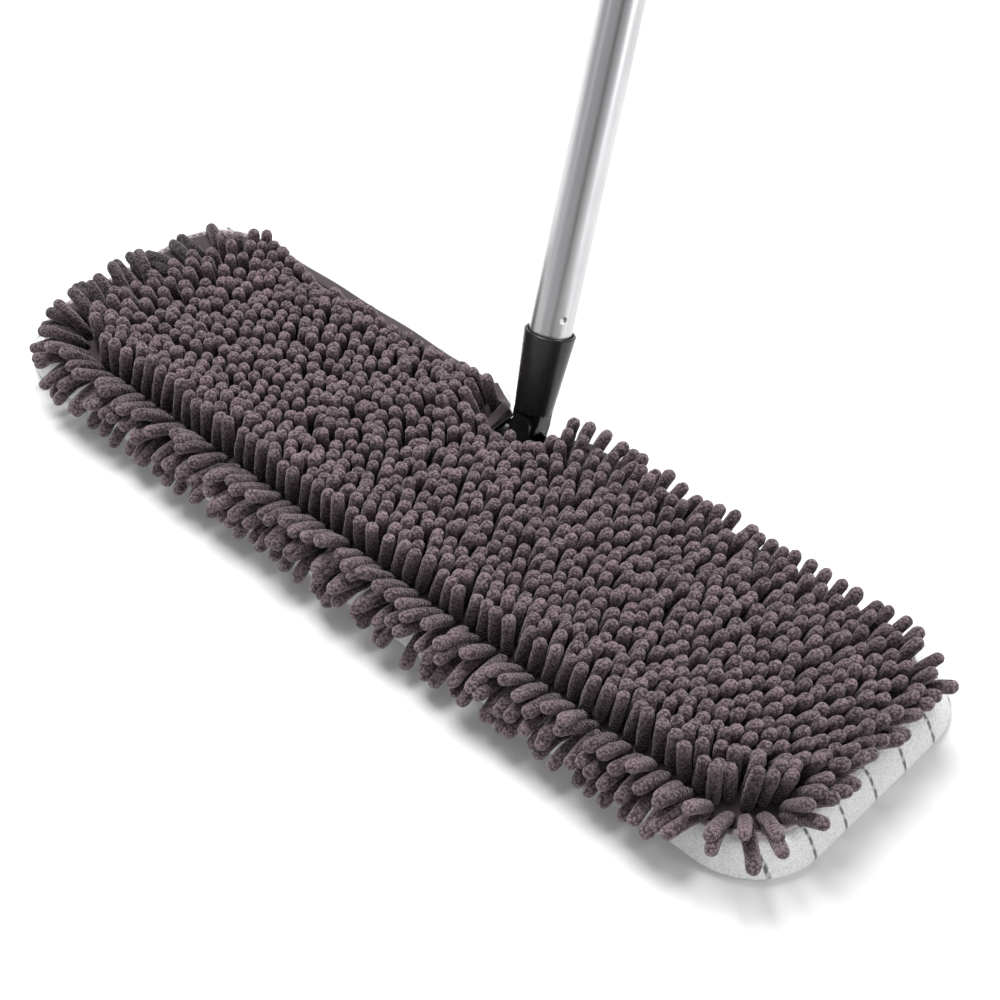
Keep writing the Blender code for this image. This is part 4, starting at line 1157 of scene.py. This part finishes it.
def blow_up(piece, held, frames, limit):
    """Run the cloth, and move each point by d * min(1, limit / |d|), d being its shift."""
    pins = piece.vertex_groups.new(name="held")
    pins.add(np.flatnonzero(held).tolist(), 1.0, "REPLACE")
    cloth = piece.modifiers.new("air", "CLOTH")
    setup = cloth.settings
    setup.quality = 5
    setup.mass = 0.05
    setup.tension_stiffness = setup.compression_stiffness = 12
    setup.shear_stiffness = 4
    setup.bending_stiffness = 0.3
    setup.use_pressure = True
    setup.uniform_pressure_force = AIR
    setup.vertex_group_mass = "held"
    setup.effector_weights.gravity = 0
    cloth.point_cache.frame_start, cloth.point_cache.frame_end = 1, frames
    for step in range(1, frames + 1):
        bpy.context.scene.frame_set(step)
    blown = piece.evaluated_get(bpy.context.evaluated_depsgraph_get())
    before, after = (np.empty(3 * len(piece.data.vertices)) for _ in range(2))
    piece.data.vertices.foreach_get("co", before)
    blown.data.vertices.foreach_get("co", after)
    shift = (after - before).reshape(-1, 3)
    distance = np.maximum(np.linalg.norm(shift, axis=1, keepdims=True), 1e-9)
    settled = before.reshape(-1, 3) + shift * np.minimum(1, limit / distance)
    settled[:, 2] = np.maximum(settled[:, 2], 0)
    piece.modifiers.remove(cloth)
    piece.vertex_groups.remove(pins)
    bpy.context.scene.frame_set(1)
    piece.data.vertices.foreach_set("co", settled.ravel())
    piece.data.update()
    return distance.max(), (distance > limit).mean()


farthest, capped = blow_up(pad_cover, held_points(x, y), BLOW_FRAMES, BLOW_LIMIT)
print("flank moved up to %.2f mm, %.1f %% capped" % (farthest / MM, 100 * capped))

# %% [markdown]
# ## Hard finishes
# The frame and hinge are moulded plastic: one fine grain, with scuffs that lighten it and
# dull its gloss. The tube is drawn aluminium, so its fine lines run along the pole. They
# come from noise whose coordinates are squeezed along the pole's own axis.

# %% Plastic, rubber and metal
def moulded_finish(name, colour, shifted_tone, roughness, grain_size, grain_depth):
    """Plastic: fine grain, with wear that mixes in a lighter, rougher tone."""
    material, tree, shader = principled(name, roughness, Specular_IOR_Level=0.5)
    scuffs = place(tree, FINE_SCUFFS, Scale=grain_size)
    drift = place(tree, COLOUR_DRIFT, Scale=40.0)
    tone = maths(tree, "MULTIPLY_ADD", drift["Drift"], 0.25,
                 maths(tree, "MULTIPLY", scuffs["Wear"], 0.6))
    tree.links.new(mix_colour(tree, tone, colour, shifted_tone), shader["Base Color"])
    rough = maths(tree, "MULTIPLY_ADD", scuffs["Wear"], 0.2,
                  remap(tree, scuffs["Grain"], 0.3, 0.7, roughness - 0.05, roughness + 0.06))
    tree.links.new(rough, shader["Roughness"])
    tree.links.new(bump(tree, scuffs["Grain"], 0.35, grain_depth), shader["Normal"])
    return material


def drawn_metal_finish(name, colour, dull, roughness):
    """Metal with drawing lines along the pole: a Mapping node turns the pole upright, and
    noise squeezed lengthwise becomes streaks in tone, roughness and height."""
    material, tree, shader = principled(name, roughness, Metallic=1.0)
    turn = tree.nodes.new("ShaderNodeMapping")
    turn.vector_type = "TEXTURE"
    turn.inputs["Location"].default_value = PIN
    turn.inputs["Rotation"].default_value = Vector(ALONG_POLE).to_track_quat("Z", "Y").to_euler()
    tree.links.new(object_point(tree), turn.inputs["Vector"])
    streaks = noise(tree, scaled(tree, turn.outputs[0], (1.0, 1.0, 0.012)), 1500.0, 3.0, 0.6)
    handling = noise(tree, scaled(tree, turn.outputs[0], (1.0, 1.0, 0.3)), 45.0, 3.0, 0.6)
    tone = maths(tree, "MULTIPLY_ADD", handling, 0.5, maths(tree, "MULTIPLY", streaks, 0.5))
    tree.links.new(mix_colour(tree, remap(tree, tone, 0.35, 0.65), dull, colour), shader["Base Color"])
    rough = remap(tree, tone, 0.3, 0.7, roughness + 0.06, roughness - 0.05)
    tree.links.new(rough, shader["Roughness"])
    tree.links.new(bump(tree, streaks, 0.25, 0.03 * MM), shader["Normal"])
    return material


BLACK_PLASTIC = moulded_finish("black_plastic", (0.007, 0.007, 0.008), (0.022, 0.022, 0.024), 0.26,
                               2400.0, 0.02 * MM)
FRAME_PLASTIC = moulded_finish("frame_plastic", (0.10, 0.10, 0.105), (0.17, 0.17, 0.175), 0.5,
                               1500.0, 0.05 * MM)
RUBBER = moulded_finish("soft_rubber", (0.022, 0.022, 0.024), (0.055, 0.055, 0.057), 0.7,
                        1100.0, 0.08 * MM)
ALUMINIUM = drawn_metal_finish("drawn_aluminium", (0.66, 0.66, 0.665), (0.52, 0.52, 0.53), 0.3)
STEEL = drawn_metal_finish("bright_steel", (0.62, 0.61, 0.60), (0.42, 0.41, 0.40), 0.24)
print("hard finishes made")

# %% [markdown]
# ## Moulded parts with soft edges
# A node in the frame is made of loose triangles with knife-sharp edges. A copy of it can
# be merged, its flat faces joined again, and every real edge rounded by a small Bevel.
# The copy stands for the node and rides on the same body.

# %% Finished copies
def finished_copy(node, name, material, width):
    """A merged copy of a node with its edges rounded, shown instead of the node."""
    mesh = frame["nodes"][node].data.copy()
    mesh.name = name
    bm = bmesh.new()
    bm.from_mesh(mesh)
    bmesh.ops.remove_doubles(bm, verts=bm.verts, dist=0.01 * MM)
    bmesh.ops.dissolve_limit(bm, angle_limit=math.radians(1), verts=bm.verts, edges=bm.edges)
    bm.to_mesh(mesh)
    bm.free()
    mesh.shade_smooth()
    mesh.set_sharp_from_angle(angle=math.radians(38))
    mesh.materials.clear()
    mesh.materials.append(material)
    piece = bpy.data.objects.new(name, mesh)
    bpy.context.scene.collection.objects.link(piece)
    rounding = piece.modifiers.new("rounded_edges", "BEVEL")
    rounding.width = width
    rounding.segments = 2
    rounding.limit_method = "ANGLE"
    rounding.angle_limit = math.radians(38)
    rounding.harden_normals = True
    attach(piece, frame["nodes"][node]["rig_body"])
    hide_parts(node)
    return piece


MOULDINGS = (
    ("frame_plate", "ribbed_frame", FRAME_PLASTIC, "frame_plastic", 0.5 * MM),
    ("hinge_bracket", "bracket_moulding", BLACK_PLASTIC, "black_plastic", 0.4 * MM),
    ("swivel_block", "swivel_moulding", BLACK_PLASTIC, "black_plastic", 0.35 * MM),
    ("pole_socket", "socket_moulding", BLACK_PLASTIC, "black_plastic", 0.3 * MM),
    ("lock_body", "lock_sleeve", BLACK_PLASTIC, "black_plastic", 0.4 * MM),
    ("lock_collar", "twist_collar", BLACK_PLASTIC, "black_plastic", 0.4 * MM),
    ("end_cap", "hanging_cap", BLACK_PLASTIC, "black_plastic", 0.6 * MM),
    ("hand_grip", "rubber_grip", RUBBER, "rubber", 0.4 * MM),
    ("upper_tube", "outer_tube", ALUMINIUM, "aluminium", 0.15 * MM),
    ("flip_pin", "flip_axle", STEEL, "steel", 0.3 * MM),
    ("swivel_pin", "swivel_axle", STEEL, "steel", 0.3 * MM),
)
for node, name, material, slot, width in MOULDINGS:
    finished_copy(node, name, material, width)
for word in ("front_left", "front_right", "back_left", "back_right"):
    finished_copy("bracket_screw_" + word, "screw_" + word, STEEL, 0.1 * MM)
for word in ("left", "right"):
    finished_copy("friction_washer_" + word, "washer_" + word, RUBBER, 0.15 * MM)
finished_copy("guide_bush", "tube_bush", BLACK_PLASTIC, 0.2 * MM)
print("finished copies:", len(MOULDINGS) + 7)

# %% [markdown]
# ## The lower tube
# The bare tube is crimped on the socket by three pressed dimples, 120 degrees apart. It is
# a surface of turns and stations whose radius dips in a smooth bell at each dimple, with
# the rows packed closely there and wide apart along the rest.

# %% Crimped tube
TUBE_RADIUS = 11 * MM
TUBE_WALL = 0.8 * MM
DIMPLE_STATION = 72 * MM
DIMPLE_TURN = math.radians(-27)
DIMPLE_DEPTH = 0.7 * MM
DIMPLE_RADIUS = 1.35 * MM
DIMPLE_COUNT = 3
TUBE_STATIONS = (53 * MM, 753 * MM)
TUBE_EDGE = 0.12 * MM
TUBE_TURNS = 180
CLOSE_REACH, CLOSE_PITCH = 3 * MM, 0.3 * MM
FAR_FROM, FAR_COUNT, END_RING = 5 * MM, 24, 0.4 * MM
CHAMFER_RING, FIRST_RING = 0.15 * MM, 6 * MM
SWIVEL_STATION = 12 * MM


def pole_axes():
    """The pole's own axes: across in the swivel's plane, square to it, and along."""
    flip = math.asin(joints["side_swivel"]["axis"][2])
    level = Euler((flip, 0, 0)).to_matrix() @ Vector((1, 0, 0))
    square = Vector(ALONG_POLE).cross(level).normalized()
    across = square.cross(Vector(ALONG_POLE)).normalized()
    return np.array(across), np.array(square), np.array(ALONG_POLE)


def tube_points(turns, stations):
    """Outer wall: radius less the dimples. A dimple is a bell of the distance from its
    middle, measured along the tube and round its girth. The inner wall is plain."""
    across, square, along = pole_axes()
    angle, station = np.meshgrid(turns, stations)
    radius = np.full_like(angle, TUBE_RADIUS)
    for index in range(DIMPLE_COUNT):
        middle = DIMPLE_TURN + index * 2 * np.pi / DIMPLE_COUNT
        away = (angle - middle + np.pi) % (2 * np.pi) - np.pi
        distance = np.hypot(away * TUBE_RADIUS, station - DIMPLE_STATION)
        radius -= DIMPLE_DEPTH * np.exp(-(distance / DIMPLE_RADIUS) ** 4)
    inner = np.full_like(radius, TUBE_RADIUS - TUBE_WALL)
    radius[[0, -1]] -= TUBE_EDGE
    radius = np.concatenate([radius, inner[::-1]])
    angle, station = np.concatenate([angle, angle[::-1]]), np.concatenate([station, station[::-1]])
    foot = SWIVEL - SWIVEL_STATION * along
    return (foot + (radius * np.cos(angle))[..., None] * across
            + (radius * np.sin(angle))[..., None] * square + station[..., None] * along)


close_rows = np.arange(DIMPLE_STATION - CLOSE_REACH,
                       DIMPLE_STATION + CLOSE_REACH + CLOSE_PITCH / 2, CLOSE_PITCH)
far_rows = np.linspace(DIMPLE_STATION + FAR_FROM, TUBE_STATIONS[1] - END_RING, FAR_COUNT)
first_rows = TUBE_STATIONS[0] + np.array([0, CHAMFER_RING, FIRST_RING])
stations = np.concatenate([first_rows, close_rows, far_rows, [TUBE_STATIONS[1]]])
turns = np.arange(TUBE_TURNS) * 2 * np.pi / TUBE_TURNS
walls = grid_faces(2 * len(stations), len(turns), True, True)
crimped_tube = make_piece("crimped_tube", tube_points(turns, stations), [walls],
                          ALUMINIUM, "aluminium", "lower_pole")
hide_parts("lower_tube")
